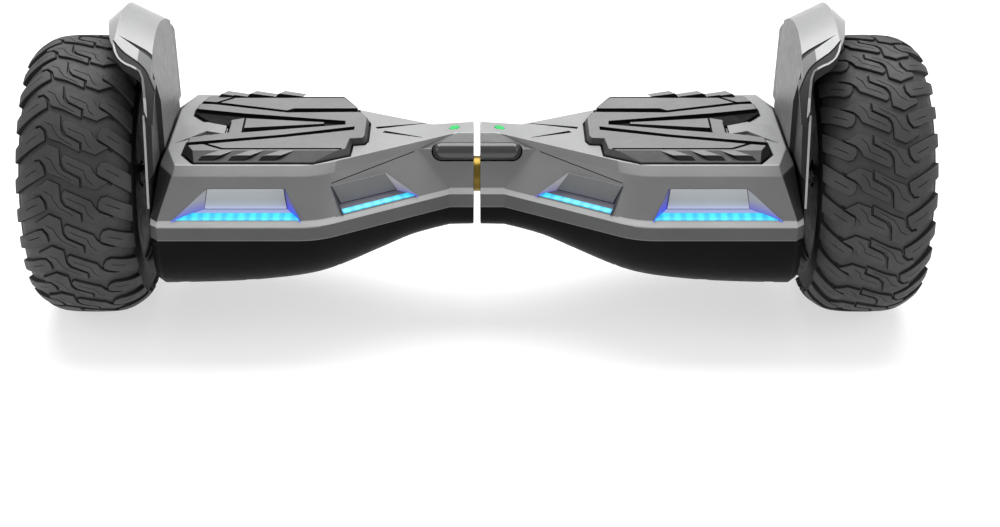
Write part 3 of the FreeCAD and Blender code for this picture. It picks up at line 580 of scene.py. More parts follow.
# Engraved lines: two on the deck that narrow towards the neck, as (along, depth), and one on the front
# slope as (along, height).
DECK_LINES = [[(78, 0.8), (40.4, 10.5)], [(72, -7), (41.9, -18.8)]]
DECK_LINE_WIDTHS, DECK_LINE_DEPTH = (4.2, 1.0), 1.6
SLOPE_LINE = [(108.2, 133.6), (76.6, 136.6), (48, 139.2)]
SLOPE_LINE_RADIUS = 0.45
PLUNGER_HOLES, PLUNGER_HOLE_RADIUS = [(155, -35), (155, 35)], 4.8


def capsule(radius, start):
    """A bar along X that ends in a half ball."""
    turn = [math.pi / 2 * step / 12 for step in range(13)]
    profile = [(start, 0), (start, radius)]
    profile += [(CAPSULE_END + radius * math.sin(angle), max(radius * math.cos(angle), 0)) for angle in turn]
    form = revolved(profile, 0, 48)
    bmesh.ops.translate(form, verts=form.verts, vec=(0, CAPSULE_DEPTH, CAPSULE_HEIGHT))
    return form


def groove_bar(line, widths, depth, top):
    """A cutter along a straight line on a level face, that narrows from one width to another."""
    start, end = (Vector(point) for point in line)
    side = (end - start).normalized().orthogonal() / 2
    corners = [start + side * widths[0], start - side * widths[0],
               end - side * widths[1], end + side * widths[1]]
    return prism([tuple(corner) for corner in corners], top - depth, top + 1)


def surface_groove(mesh, line, radius):
    """A thin cutter that follows the front of a mesh past points given as (along, height)."""
    corners = [vert.co for vert in mesh.vertices]
    tree = BVHTree.FromPolygons(corners, [face.vertices for face in mesh.polygons])
    turn = [math.pi * side / 3 for side in range(6)]
    rings = []
    for x, z in divided(line, 6):
        at = tree.ray_cast(Vector((x, -200, z)), Vector((0, 1, 0)))[0]
        rings.append([at + Vector((0, radius * math.cos(angle), radius * math.sin(angle))) for angle in turn])
    return loft(rings)


def divided(line, step, closed=False):
    """A line with points added so that no part is longer than a step."""
    ends = line[1:] + line[:1] if closed else line[1:]
    made = []
    for start, end in zip(line, ends):
        count = max(1, math.ceil((Vector(end) - Vector(start)).length / step))
        made += [tuple(Vector(start).lerp(Vector(end), part / count)) for part in range(count)]
    return made if closed else made + [line[-1]]


def painted(mesh, base, rules):
    """Gives faces of the base material another one: rules are pairs of material and face test."""
    first = [index for index, material in enumerate(mesh.materials) if material == base]
    added = []
    for material, _ in rules:
        mesh.materials.append(material)
        added.append(len(mesh.materials) - 1)
    for face in mesh.polygons:
        if face.material_index in first:
            for slot, (_, test) in zip(added, rules):
                if test(face.center, face.normal):
                    face.material_index = slot
                    break
    return mesh


def top_cover():
    """The upper casing of the right half, hollow below, with its recesses, painted light and shade on its
    facets and painted shade on its recess walls.
    """
    outer = as_mesh(soften(plan_loft([(level, 0, level) for level in PLAN]), 0.8, 12), UPPER)
    hollow = as_mesh(plan_loft([(SPLIT, WALL, SPLIT - 2), (BAND, WALL, BAND), (STRIP, WALL, STRIP - 1),
                                (CHAMFER, WALL + 1, CHAMFER - 4), (DECK, WALL + 5, DECK - 5)]), UPPER)
    blocks = [as_mesh(hull(window_corners(window, WALL)), UPPER) for window in WINDOWS.values()]
    shell = carve(outer, [carve(hollow, blocks)])
    tongue = loft([[(x, y, DECK - 2) for x, y, _ in TONGUE], [(x, y, DECK + rise) for x, y, rise in TONGUE]])
    shell = carve(shell, [as_mesh(tongue, UPPER)], "UNION")
    # The pocket round the footpad has black walls: painted shade in the gap.
    recess = loft([[(x, y, height) for x, y in grow(PAD_FOOT, out)]
                   for height, out in ((PAD_FLOOR - 2.2, 0.9), (DECK - 0.7, 0.9), (DECK + 1.3, 2.9))])
    # The cutters leave black walls: painted shade in the window recesses, round the capsule and the lens, and
    # in the engraved lines.
    cutters = [as_mesh(hull(window_corners(window)), BLACK_PLASTIC_AND_SHADE) for window in WINDOWS.values()]
    cutters.append(as_mesh(capsule(CAPSULE_RADIUS + 0.9, GAP - 2), BLACK_PLASTIC_AND_SHADE))
    cutters.append(as_mesh(prism(grow(INDICATOR, 0.3), DECK - 2.5, DECK + 3), BLACK_PLASTIC_AND_SHADE))
    cutters.append(as_mesh(surface_groove(shell, SLOPE_LINE, SLOPE_LINE_RADIUS), BLACK_PLASTIC_AND_SHADE))
    cutters += [as_mesh(groove_bar(line, DECK_LINE_WIDTHS, DECK_LINE_DEPTH, DECK), BLACK_PLASTIC_AND_SHADE)
                for line in DECK_LINES]
    cutters.append(as_mesh(round_bar("X", (0, 0, AXLE), PIVOT_BORE, 20), UPPER))
    cutters.append(as_mesh(round_bar("X", (222, 0, AXLE), AXLE_BORE, 40), UPPER))
    cutters += [as_mesh(round_bar("Z", (x, y, DECK - 12), PLUNGER_HOLE_RADIUS, 20), UPPER)
                for x, y in PLUNGER_HOLES]
    cover = carve(carve(shell, [as_mesh(recess, BLACK_PLASTIC_AND_SHADE)]), cutters)
    # Painted light on the facets: the deck lit, a highlight on the strip, and shade on the band, the neck's
    # facet and the outer end.
    return painted(cover, UPPER, [
        (DECK_PAINTED_LIGHT, lambda at, out: at.z > DECK - 1 and out.z > 0.9),
        (BAND_PAINTED_SHADE, lambda at, out: at.z < BAND + 0.6 and abs(out.z) < 0.25),
        (BAND_PAINTED_SHADE, lambda at, out: at.x < 40 and at.y < -10 and at.z > CHAMFER + 0.5 and 0.5 < out.z < 0.99),
        (STRIP_PAINTED_HIGHLIGHT, lambda at, out: at.z < STRIP + 0.6 and 0.3 < out.z < 0.98),
        (END_PAINTED_SHADE, lambda at, out: at.x > 227 and out.x > 0.6 and at.z < CHAMFER + 1),
    ])


def height_at(table, at):
    """A smooth curve through a table of (along, value) rows, with level ends."""
    places = [row[0] for row in table]
    values = [row[1] for row in table]
    slopes = [0.0]
    for index in range(1, len(table) - 1):
        before = (values[index] - values[index - 1]) / (places[index] - places[index - 1])
        after = (values[index + 1] - values[index]) / (places[index + 1] - places[index])
        slopes.append(0.0 if before * after <= 0 else 2 * before * after / (before + after))
    slopes.append(0.0)
    row = max(index for index in range(len(table) - 1) if places[index] <= max(at, places[0]))
    width = places[row + 1] - places[row]
    k = min(max((at - places[row]) / width, 0), 1)
    low, high, rise, fall = values[row], values[row + 1], slopes[row] * width, slopes[row + 1] * width
    return (low * (2 * k ** 3 - 3 * k * k + 1) + rise * (k ** 3 - 2 * k * k + k)
            + high * (3 * k * k - 2 * k ** 3) + fall * (k ** 3 - k * k))


def half_depth(along, front):
    """How deep the casing is at a place, from its middle to its front or rear edge."""
    line = edge_line(SPLIT, front)
    return float(np.interp(along, [x for x, _ in line], [y for _, y in line]))


def belly_curve(steps):
    """The lower casing's rounded side as shares of (half depth, height above its floor)."""
    pulls = (Vector((1, 1)), Vector((1, 0.62)), Vector((0.87, 0.05)), Vector((0.64, 0)))
    curve = []
    for step in range(steps):
        k = step / (steps - 1)
        point = (pulls[0] * (1 - k) ** 3 + pulls[1] * 3 * k * (1 - k) ** 2
                 + pulls[2] * 3 * k * k * (1 - k) + pulls[3] * k ** 3)
        curve.append(tuple(point))
    return curve


def belly_ring(along, wall, lip, top):
    """Rounded section of the lower casing at one place along the board."""
    floor = height_at(FLOOR, along) + wall
    sides = []
    for front in (True, False):
        depth, rise = half_depth(along, front) - lip, SPLIT - floor
        side = [(share * depth - wall, floor + level * rise) for share, level in belly_curve(14)]
        sides.append([(side[0][0], top)] + side)
    front_side, rear_side = sides
    return [(along, -y, z) for y, z in front_side] + [(along, y, z) for y, z in rear_side[::-1]]


def belly(wall, lip, top):
    """The lower casing's outer or inner solid."""
    start, end = GAP + wall, OUTER_END - wall
    marks = sorted({start, 21, 236, end, *range(28, 98, 7), *range(98, 160, 3), *range(165, 232, 9)})
    return loft([belly_ring(along, wall, lip, top) for along in marks if start <= along <= end])


def screw_places():
    """Where the casing screws meet the surface of the lower casing."""
    curve = belly_curve(40)[::-1]
    level = float(np.interp(SCREW_DEPTH, [share for share, _ in curve], [height for _, height in curve]))
    places = []
    for x in SCREW_STATIONS:
        floor = height_at(FLOOR, x)
        for sign in (-1, 1):
            places.append((x, sign * SCREW_DEPTH * half_depth(x, sign < 0), floor + level * (SPLIT - floor)))
    return places


def bottom_cover():
    """The lower casing of the right half: a tray with screw recesses and a port in its rear wall."""
    outer = belly(0, 0.7, SPLIT)
    soften(outer, 1.0, 40, 2, lambda edge: max(vert.co.z for vert in edge.verts) < SPLIT - 0.5)
    boss, collar = (as_mesh(round_bar("Y", (PORT_PLACE, start, PORT_HEIGHT), PORT_BOSS, PORT_FACE - start))
                    for start in (93, 90))
    shell = carve(carve(as_mesh(outer), [boss], "UNION"), [as_mesh(belly(WALL, 0.7, SPLIT + 2))])
    shell = carve(shell, [collar], "UNION")
    cutters = [round_bar("X", (0, 0, AXLE), PIVOT_BORE, 20),
               round_bar("Y", (PORT_PLACE, 80, PORT_HEIGHT), PORT_RADIUS, 40)]
    for x, y, floor in screw_places():
        cutters.append(round_bar("Z", (x, y, floor - 5), SCREW_RECESS, 14, 32))
    return carve(shell, [as_mesh(cutter) for cutter in cutters])


def casing_screws():
    """Cross head screws that sit in the recesses of the lower casing."""
    heads = []
    for x, y, floor in screw_places():
        head = as_mesh(soften(round_bar("Z", (x, y, floor + 2.2), SCREW_RADIUS, 4, 32), 0.4, 40), ZINC)
        cross = [prism([(x - a, y - b), (x + a, y - b), (x + a, y + b), (x - a, y + b)], floor, floor + 3.6)
                 for a, b in ((2.4, 0.5), (0.5, 2.4))]
        heads.append(carve(head, [as_mesh(cut) for cut in cross]))
    return joined(heads)


pair("upper_casing", top_cover(), "half", "upper_plastic", None, "top_cover")
pair("lower_casing", bottom_cover(), "half", "lower_plastic", LOWER, "bottom_cover", crease=32)
pair("casing_screws", casing_screws(), "half", "zinc_steel", ZINC, "cover_screws")

# ---------------------------------------------------------------- lights and trims

DIODE_PITCH, BAR_END, BAR_INSET, BAR_HEIGHTS, BAND_HEIGHTS = 8.6, 0.03, 3.2, (0.2, 1.5), (0.1, 0.9)
CHEEK_DEPTHS, PANEL_DEPTHS, PANEL_END = (0.25, 0.75), (-0.9, -0.15), 0.02
# How much of each sill the diffuser bar takes, then the painted glows of the side walls, the panel behind
# and the rest of the sill.
BAR_SHARE = {"outer": 0.66, "inner": 0.5}
CHEEKS = {
    "outer": (side_glow("blue_cheek_painted_glow", (0.02, 0.16, 1.0), (0.05, 0.06, 0.85), (0.1, 0.1, 0.34), 0.8),
              side_glow("violet_cheek_painted_glow", (0.05, 0.12, 1.0), (0.22, 0.21, 0.62), (0.34, 0.34, 0.36), 0.75)),
    "inner": (side_glow("dark_cheek_painted_glow", (0.02, 0.02, 0.06), (0.01, 0.01, 0.02), (0.0, 0.0, 0.0), 0.3),
              side_glow("pale_cheek_painted_glow", (0.12, 0.1, 0.9), (0.3, 0.29, 0.42), (0.4, 0.4, 0.41), 0.75)),
}
PANELS = {"outer": reflector("outer_panel_painted_glow", (0.4, 0.4, 0.405), 0.7),
          "inner": reflector("inner_panel_painted_glow", (0.13, 0.13, 0.132), 0.06)}
BANDS = {"outer": side_glow("violet_haze_painted_glow", (0.3, 0.5, 0.9), (0.5, 0.52, 0.85), (0.5, 0.5, 0.8), 0.75),
         "inner": PANELS["inner"]}


def window_lights():
    """The diffuser bar on each sill, with painted glow behind it, on the side walls and on the reflector
    panel.
    """
    rise = Vector((0, 0, 1))
    for name, window in WINDOWS.items():
        top_a, top_b, back_a, back_b, sill_a, sill_b = window_corners(window)
        run = (back_b - back_a).normalized()
        inward = Vector((-run.y, run.x, 0)) * (1 if name == "outer" else -1)
        middle = [sill_a.lerp(back_a, BAR_SHARE[name]), sill_b.lerp(back_b, BAR_SHARE[name])]
        front = [start.lerp(end, BAR_END) + inward * BAR_INSET
                 for start, end in ((sill_a, sill_b), (sill_b, sill_a))]
        bar = hull([point + rise * lift for point in front + middle for lift in BAR_HEIGHTS])
        soften(bar, 0.25, 30)
        for side in SIDES:
            flip = -1 if side == "left" else 1
            strip = light_strip(f"{side}_{name}_strip", (run.x * flip, run.y, 0), DIODE_PITCH,
                                (0.04, 0.7, 0.9), (0.01, 0.42, 0.78), 0.9)
            place(f"{side}_{name}_light_bar", as_mesh(bar.copy()), f"{side}_half", "cyan_light", strip,
                  [f"{side}_{name}_light"], 30, side == "left")
        bar.free()
        band = hull([point + rise * lift for point in middle + [back_a, back_b] for lift in BAND_HEIGHTS])
        pair(f"{name}_glow_band", as_mesh(band), "half", "cyan_light", BANDS[name])
        for end, (top, back, sill) in enumerate(((top_a, back_a, sill_a), (top_b, back_b, sill_b))):
            turn = 1 - 2 * end
            corners = [top.lerp(back, 0.05), back, sill.lerp(back, 0.06)]
            cheek = hull([point + run * step * turn for point in corners for step in CHEEK_DEPTHS])
            pair(f"{name}_light_cheek_{end + 1}", as_mesh(cheek), "half", "cyan_light", CHEEKS[name][end])
        ends = ((top_a, top_b), (top_b, top_a), (back_b, back_a), (back_a, back_b))
        face = [start.lerp(end, PANEL_END) for start, end in ends]
        sheet = hull([point + rise * (-0.6 if point.z > 120 else 1.6) + inward * step
                      for point in face for step in PANEL_DEPTHS])
        soften(sheet, 0.25, 30)
        pair(f"{name}_light_panel", as_mesh(sheet), "half", "panel_plastic", PANELS[name],
             "light_panels" if name == "outer" else None)


window_lights()

status = prism(INDICATOR, DECK - 2, DECK + 0.5)
soften(status, 0.35, 30)
pair("status_lens", as_mesh(status), "half", "green_lens", GREEN, "indicator")
pair("neck_capsule", as_mesh(capsule(CAPSULE_RADIUS, GAP)), "half", "gloss_trim", TRIM, "center_trim")

# ---------------------------------------------------------------- footpads

# The outline of the V and its island, the broad bands and the thin lines, seen from above.
PAD_RIM, GROOVE_DEPTH, LINE_DEPTH, LINE_WIDTH = 1.4, 3, 2, 3
PAD_V = [(222, 29.5), (181.8, 18.9), (118.6, 6.4), (101.9, 3.2), (101.2, -4.6), (180.2, -21.4),
         (180.7, 8.9), (189.3, 4.9), (192, -1), (207.5, 6), (222, 26)]
PAD_ISLAND = [(179.3, 8.6), (118.2, 0.3), (118, -3.2), (179.1, -11.8)]
PAD_BANDS = [
    [(224, 46.6), (206.6, 43.6), (148.8, 25.4), (143.7, 29.8), (90, 29.8), (90, 21.8), (148.6, 20.6),
     (207, 38.4), (224, 40)],
    [(224, -42.2), (149, -25.6), (94, -8.4), (94, -15.6), (145.9, -30.6), (207, -45), (224, -48.2)],
]
PAD_LINES = [[(206.2, 41), (192.4, 54), (106, 54)], [(206.6, -43.2), (191.6, -53.8), (101.5, -53.8)]]
CLEAT_PITCH, CLEAT_COUNT = 22.6, 3


def line_prism(points, width, bottom, top):
    """A cutter that follows a line on a level face, with mitred turns."""
    points = [Vector(point) for point in points]
    left, right = [], []
    for index, at in enumerate(points):
        before = (at - points[max(index - 1, 0)]).normalized() if index else None
        after = (points[index + 1] - at).normalized() if index + 1 < len(points) else None
        before, after = before or after, after or before
        out = Vector((-before.y, before.x)) + Vector((-after.y, after.x))
        step = out * width / 2 / (1 + before.dot(after))
        left.append(at + step)
        right.append(at - step)
    return prism([tuple(point) for point in left + right[::-1]], bottom, top)


def cleat(shift, rear):
    """A wedge moulded on the pad's sloping edge, given a painted highlight on its top face and painted shade
    on its front one.
    """
    if rear:
        corners = [(206, 54, 0), (203.5, 54.6, 2.6), (184, 54, 0), (198.5, 61.5, 2.6), (181, 61, 0),
                   (205.5, 65, -3.7), (195, 65, -3.7)]
    else:
        corners = [(192.4, -56.4, -0.05), (181.4, -56.4, -0.05), (205.2, -66.3, -0.7), (202, -66.3, -0.15),
                   (191.2, -66.3, -0.15), (208, -69.3, -3.1), (195.7, -69.3, -3.1), (205, -58, -5),
                   (183, -58, -5)]
    return hull([(x - shift, y, PAD_TOP + drop) for x, y, drop in corners])


def footpad():
    """The rubber tread of the right half: a frustum with wedge grooves, bands and edge cleats."""
    rings = [[(x, y, height) for x, y in PAD_FOOT] for height in (PAD_FLOOR, PAD_FLOOR + PAD_RIM)]
    rings.append([(x, y, PAD_TOP) for (x, y), _ in PAD])
    block = as_mesh(soften(loft(rings), 0.45, 30), PAD_BEVEL_SHADE)
    cleats = [as_mesh(cleat(CLEAT_PITCH * number, rear), CLEAT_SHADE) for rear in (False, True)
              for number in range(CLEAT_COUNT)]
    block = carve(block, cleats, "UNION")
    cutters = [prism(PAD_V, PAD_TOP - GROOVE_DEPTH, PAD_TOP + 3)]
    cutters += [prism(band, PAD_TOP - GROOVE_DEPTH, PAD_TOP + 3) for band in PAD_BANDS]
    cutters += [line_prism(line, LINE_WIDTH, PAD_TOP - LINE_DEPTH, PAD_TOP + 3) for line in PAD_LINES]
    block = carve(block, [as_mesh(cutter, PAD_SHADE) for cutter in cutters])
    steps = ((PAD_TOP - GROOVE_DEPTH - 0.5, 0.5), (PAD_TOP - 0.3, 0), (PAD_TOP, -0.3))
    island = loft([[(x, y, height) for x, y in grow(PAD_ISLAND, out)] for height, out in steps])
    block = carve(block, [as_mesh(island, PAD_SHADE)], "UNION")

    def level(at, out):
        return out.z > 0.97 and at.z > PAD_TOP - 0.4

    # The level top faces keep the pad's rubber, the cleats' tops get it as a painted highlight, and the
    # bevel's outer end and rear faces get painted shade.
    painted(block, PAD_SHADE, [(RUBBER_TOP, level)])
    painted(block, CLEAT_SHADE, [(RUBBER_TOP, lambda at, out: out.z > 0.9 and at.z > PAD_TOP - 1)])
    shaded = [(PAD_SHADE, lambda at, out: out.x > 0.35 or out.y > 0.35 and at.y < -20)]
    return painted(block, PAD_BEVEL_SHADE, [(RUBBER_TOP, level)] + shaded)


pair("footpad_tread", footpad(), "pad", "pad_rubber", None, "footpad", crease=20)

# ---------------------------------------------------------------- fenders

# The fender: places along the board of its wall, ridge and outer edge, radii over the axle at its edges
# and its ridge, the hood's thickness, the place of its inner corner and the depth of the bands of painted
# shade in its creases.
# A layer of the wall is (start, end, spread, half of its outline from the rear foot up).
FENDER_IN, RIDGE, REACH = 236, 267.5, 284
FENDER_LOW, FENDER_TOP, SKIN, WALL_END, BAND_DEPTH = 118, 133, 2.6, 246, 0.9
FENDER_LAYERS = [
    (242.4, 244, 0.3, [(60, 74), (86, 95), (92, 118.7), (86.4, 165), (84, 192), (60, 240)]),
    (239.5, 242.6, 3.4, [(82, 142), (72, 190), (60, 240)]),
    (236.0, 239.7, 4.2, [(42, 146.4), (50, 240)]),
]
HOOD_PLAN = [(236, -88), (242, -88), (243.4, -79), (246.5, -62), (252.5, -60.8), (259.5, -61.6),
             (265.2, -58), (269, -47), (272, -38), (277, -12), (283, 26), (284, 36),
             (284, 52), (278, 66), (266, 76), (254, 80), (245.5, 80), (243.2, 74), (242.6, 56), (236, 46)]
HOOD_BANDS = [
    [(266, -36.5), (253, -38), (243, -39.6), (238.5, -43.6), (234, -49), (234, -55), (238.8, -49.2),
     (241.5, -45), (252.8, -41.4)],
    [(270.2, -39.6), (268.6, -43.6), (260.8, -50.8), (253.2, -52.7), (248, -54.3), (242.8, -57.8),
     (238, -66), (234, -72), (234, -92), (239.6, -91), (241.5, -79), (245.4, -60.6), (252.5, -59.2),
     (259.3, -60), (264, -57), (267.4, -47)],
]
HOOD_ANGLE = 65
LEAN_CUT = [(226, 186), (236, 186), (242.6, 234), (244.5, 250), (226, 250)]
RIM_END = 119


def smoothed(corners):
    """A line with its corners cut off."""
    line = [Vector(corner) for corner in corners]
    cut = [line[0]]
    for start, end in zip(line, line[1:]):
        cut += [start.lerp(end, 0.25), start.lerp(end, 0.75)]
    return [tuple(point) for point in cut + [line[-1]]]


def arched(section):
    """A profile of (along, radius) swept over the wheel."""
    turn = [math.radians(HOOD_ANGLE * step / 26) for step in range(-26, 27)]
    return loft([[(x, radius * math.sin(angle), AXLE + radius * math.cos(angle)) for x, radius in section]
                 for angle in turn])


def fender():
    """The mudguard: a stepped wall beside the tyre under a ridged hood that arches over it."""
    slope = (FENDER_TOP - FENDER_LOW) / (RIDGE - FENDER_IN)
    section = [(FENDER_IN, FENDER_LOW), (250, FENDER_LOW + 14 * slope), (RIDGE, FENDER_TOP),
               (REACH, FENDER_LOW + 1), (REACH, FENDER_LOW + 1 - SKIN), (RIDGE, FENDER_TOP - SKIN - 0.6),
               (WALL_END, FENDER_LOW - SKIN), (FENDER_IN + 5, FENDER_LOW - SKIN),
               (FENDER_IN, FENDER_LOW - 1.6)]
    plan = as_mesh(prism(smoothed(HOOD_PLAN), AXLE, 300), FENDER)
    hood = carve(as_mesh(arched(section), FENDER), [plan], "INTERSECT")
    # The crease bands are cut shallow into the hood and given painted deep shade.
    above = [(FENDER_IN - 3, FENDER_LOW - 1.4 - BAND_DEPTH), (RIDGE, FENDER_TOP - BAND_DEPTH),
             (REACH + 2, FENDER_LOW - BAND_DEPTH), (REACH + 2, FENDER_TOP + 9),
             (FENDER_IN - 3, FENDER_TOP + 9)]
    bands = []
    for band in HOOD_BANDS:
        outline = as_mesh(prism(smoothed(band + band[:1]), AXLE, 300), FENDER_DEEP_SHADE)
        bands.append(carve(as_mesh(arched(above), FENDER_DEEP_SHADE), [outline], "INTERSECT"))
    hood = carve(hood, bands)
    disc = as_mesh(round_bar("X", (FENDER_IN - 1, 0, AXLE), FENDER_LOW - 0.6, 14, 192), FENDER_DEEP_SHADE)
    layers = []
    # Each layer of the wall is a darker copy of the fender's plastic as painted shade, darkest beside the
    # tyre.
    for (start, end, spread, half), material in zip(FENDER_LAYERS, (FENDER_DEEP_SHADE, FENDER_STEP_SHADE, FENDER_FACE_SHADE)):
        outline = half + [(-y, z) for y, z in reversed(half)]
        form = loft([[(x, y, z) for y, z in grow(outline, wider)]
                     for x, wider in ((start, 0), (end, spread))])
        layers.append(carve(as_mesh(form, material), [disc], "INTERSECT"))
    whole = carve(hood, layers, "UNION")
    lean = prism(LEAN_CUT, -62, 62)
    lean.transform(Matrix.Rotation(math.pi / 2, 4, "X"))
    whole = carve(whole, [as_mesh(lean, FENDER_FACE_SHADE)])
    # Painted light and shade on the fender: front-facing walls in deep shade, the hood's lower front and the
    # lean cut's faces shaded, the wall's inward faces in deep shade, a painted highlight of the light grey
    # along the cut rim, and black shade below the rim.
    painted(whole, FENDER, [
        (FENDER_DEEP_SHADE, lambda at, out: out.y < -0.2 and abs(out.z) < 0.3),
        (FENDER_FACE_SHADE, lambda at, out: at.y < -42 and at.x < 250 and at.z > 200),
    ])
    painted(whole, FENDER_FACE_SHADE, [(FENDER_DEEP_SHADE, lambda at, out: at.x < 243 and out.x > -0.85 and out.z < 0.6)])
    painted(whole, FENDER_STEP_SHADE, [(FENDER_DEEP_SHADE, lambda at, out: out.x > -0.9)])
    return painted(whole, FENDER_DEEP_SHADE, [
        (FENDER, lambda at, out: RIM_END < at.z < 192 and out.y < -0.8 and at.x > 242.3),
        (BLACK_PLASTIC_AND_SHADE, lambda at, out: at.z < RIM_END),
    ])


pair("fender_shell", fender(), "half", "fender_plastic", None, "fender", crease=22)

# ---------------------------------------------------------------- tyres

# The tread is unrolled flat as (across, along) in millimetres: across runs over the profile from the
# board's outer side to its inner side with 0 at the crown, along runs round the tyre towards the front.
PITCHES = 26
PITCH = 2 * math.pi * TYRE_RADIUS / PITCHES
TREAD_EDGE = 60
SIDE_STEPS = 9
BLOCKS = [
    [(-18.5, 22.5), (-19.7, 17), (-22.7, 13.3), (-28, 15), (-45.5, 25.8), (-48, 27.2), (-48, 39.4),
     (-45.5, 38), (-18.8, 23.5)],
    [(-28, 8.3), (-16.3, 0.5), (-8, 4.2), (-7.2, 16), (-4.6, 20.3), (7, 26.3), (7.3, 32.3), (-6.5, 25),
     (-15.5, 21.8), (-16.6, 20), (-17.7, 15.9), (-21.9, 11.5), (-27, 12)],
    [(-5.8, 10.5), (-3.8, 8.3), (2.8, 11.3), (15.3, 17), (17.3, 21.2), (21.2, 25.3), (28.5, 28.6),
     (18.7, 34.2), (8.9, 30.6), (8.8, 25.2), (-2.6, 18.9), (-5.2, 14.9)],
    [(20.3, 18.3), (22.8, 14.2), (27, 13.3), (44.5, 21.7), (48, 23.4), (48, 38.5), (44.5, 36.7),
     (20.3, 22.5)],
]
SIPES = [
    [(-36, 25.6), (-30, 22), (-24, 19)],
    [(-20.5, 8.3), (-13.8, 12), (-11.8, 16.3), (-8.5, 21.3), (3.5, 28.4)],
    [(-3.6, 13.3), (1.2, 15.8), (10.3, 20), (12.5, 26.3), (17.4, 31)],
    [(25, 18.5), (32, 22), (38, 25)],
]
SEAM = [(-60, 26), (-45.5, 19), (-34, 9.5), (-28, 5.3), (-22, 1.8), (-16.3, -2.6), (-11, -0.2), (-6.5, 1.8),
        (-3.4, 4.6), (2.8, 7.6), (8, 10), (15.3, 12.4), (20, 12.2), (24, 9), (30, 8.6), (44.5, 16), (60, 23)]
EDGE_DROP, FOOT_SPREAD, SIPE_HALF, SIPE_LEVEL = 0.16, 0.55, 0.4, 0.62
# The tread's curve and the side wall down to the rim, as (across, rise over the crown).
PROFILE = [(0, 0), (21.5, -1.2), (33.5, -6.3), (42, -14), (46, -24), (46, -31), (43, -38)]
RIM_PROFILE = [(43, -29.5), (43.2, -31), (43.2, -33), (42.6, -33.8), (42.4, -35.5), (42, -38), (40.5, -39.6),
               (38.6, -39.9), (38.2, -41.2), (35, -42.4), (33, -43), (33, -46)]


def profile_curve():
    """The tyre's outer profile: distances over it from the crown, and points of (across, radius)."""
    half = [Vector((w, TYRE_RADIUS + drop)) for w, drop in PROFILE]
    whole = [Vector((-point.x, point.y)) for point in half[:0:-1]] + half
    dense = []
    for index in range(len(whole) - 1):
        near = [min(max(index + step, 0), len(whole) - 1) for step in (-1, 0, 1, 2)]
        before, start, end, after = (whole[place] for place in near)
        for step in range(24):
            k = step / 24
            square = 2 * before - 5 * start + 4 * end - after
            cube = 3 * start - before - 3 * end + after
            dense.append(0.5 * (2 * start + (end - before) * k + square * k * k + cube * k ** 3))
    dense.append(whole[-1])
    points = np.array([tuple(point) for point in dense])
    steps = np.hypot(*np.diff(points, axis=0).T)
    run = np.concatenate([[0], np.cumsum(steps)])
    run -= np.interp(0, points[:, 0], run)
    return run, points


def tread_depth(across):
    """How deep the tread is cut at a place across the tyre."""
    return float(np.interp(abs(across), [0, 18, 34, 46, TREAD_EDGE], [1.9, 2.1, 2.8, 3.6, 3.2]))


def inside(point, corners):
    """Whether a point lies in a flat outline."""
    x, y = point
    crossings = 0
    for (ax, ay), (bx, by) in zip(corners, corners[1:] + corners[:1]):
        if (ay > y) != (by > y) and x < ax + (y - ay) * (bx - ax) / (by - ay):
            crossings += 1
    return crossings % 2 == 1


def gap_to_lines(point, starts, ends):
    """Shortest distance from a point to any of many straight lines."""
    run = ends - starts
    share = np.clip(((point - starts) * run).sum(1) / np.maximum((run * run).sum(1), 1e-9), 0, 1)
    return float(np.sqrt(((starts + run * share[:, None] - point) ** 2).sum(1)).min())


def tread_tile():
    """One pitch of the tread, unrolled: rows of (across, along, level) and triangles."""
    points, levels, edges = [], [], []

    def add(line, level, closed=True):
        first = len(points)
        points.extend(line)
        levels.extend([level] * len(line))
        edges.extend((first + at, first + at + 1) for at in range(len(line) - 1))
        if closed:
            edges.append((first + len(line) - 1, first))

    seam = divided(SEAM, 3)
    side = [step / SIDE_STEPS * PITCH for step in range(1, SIDE_STEPS)]
    right = [(TREAD_EDGE, SEAM[-1][1] + step) for step in side]
    left = [(-TREAD_EDGE, SEAM[0][1] + step) for step in reversed(side)]
    outline = seam + right + [(x, y + PITCH) for x, y in reversed(seam)] + left
    add(outline, 0.0)
    for block in BLOCKS:
        add(divided(grow(block, -0.35), 3, True), 1.0)
        add(divided(grow(block, 0), 3, True), 1.0 - EDGE_DROP)
        add(divided(grow(block, FOOT_SPREAD), 3, True), 0.0)
    for sipe in SIPES:
        centre = divided(sipe, 3)
        sides = []
        for index in range(1, len(centre) - 1):
            run = Vector(centre[index + 1]) - Vector(centre[index - 1])
            sides.append(Vector((-run.y, run.x)).normalized() * SIPE_HALF)
        upper = [tuple(Vector(at) + shift) for at, shift in zip(centre[1:-1], sides)]
        lower = [tuple(Vector(at) - shift) for at, shift in zip(centre[1:-1], sides)]
        add([centre[0]] + upper + [centre[-1]] + lower[::-1], 1.0)
        add(centre[1:-1], SIPE_LEVEL, closed=False)
    starts = np.array([points[start] for start, _ in edges])
    ends = np.array([points[end] for _, end in edges])
    seam_x, seam_y = [x for x, _ in SEAM], [y for _, y in SEAM]
    for x in np.arange(-56, 57, 4.0):
        for y in np.arange(0, PITCH, 3.7):
            spot = (float(x), float(np.interp(x, seam_x, seam_y) + y))
            if gap_to_lines(np.array(spot), starts, ends) > 1.3:
                points.append(spot)
                levels.append(1.0 if any(inside(spot, block) for block in BLOCKS) else 0.0)
    flat = [Vector(point) for point in points]
    made = delaunay_2d_cdt(flat, edges, [], 1, 1e-5, True)
    rows = [(at.x, at.y, min((levels[index] for index in source), default=1.0))
            for at, source in zip(made[0], made[3])]
    faces = [tuple(face) for face in made[2]]
    centres = [sum((made[0][corner] for corner in face), Vector((0, 0))) / len(face) for face in faces]
    return rows, [face for face, centre in zip(faces, centres) if inside(centre, outline)]


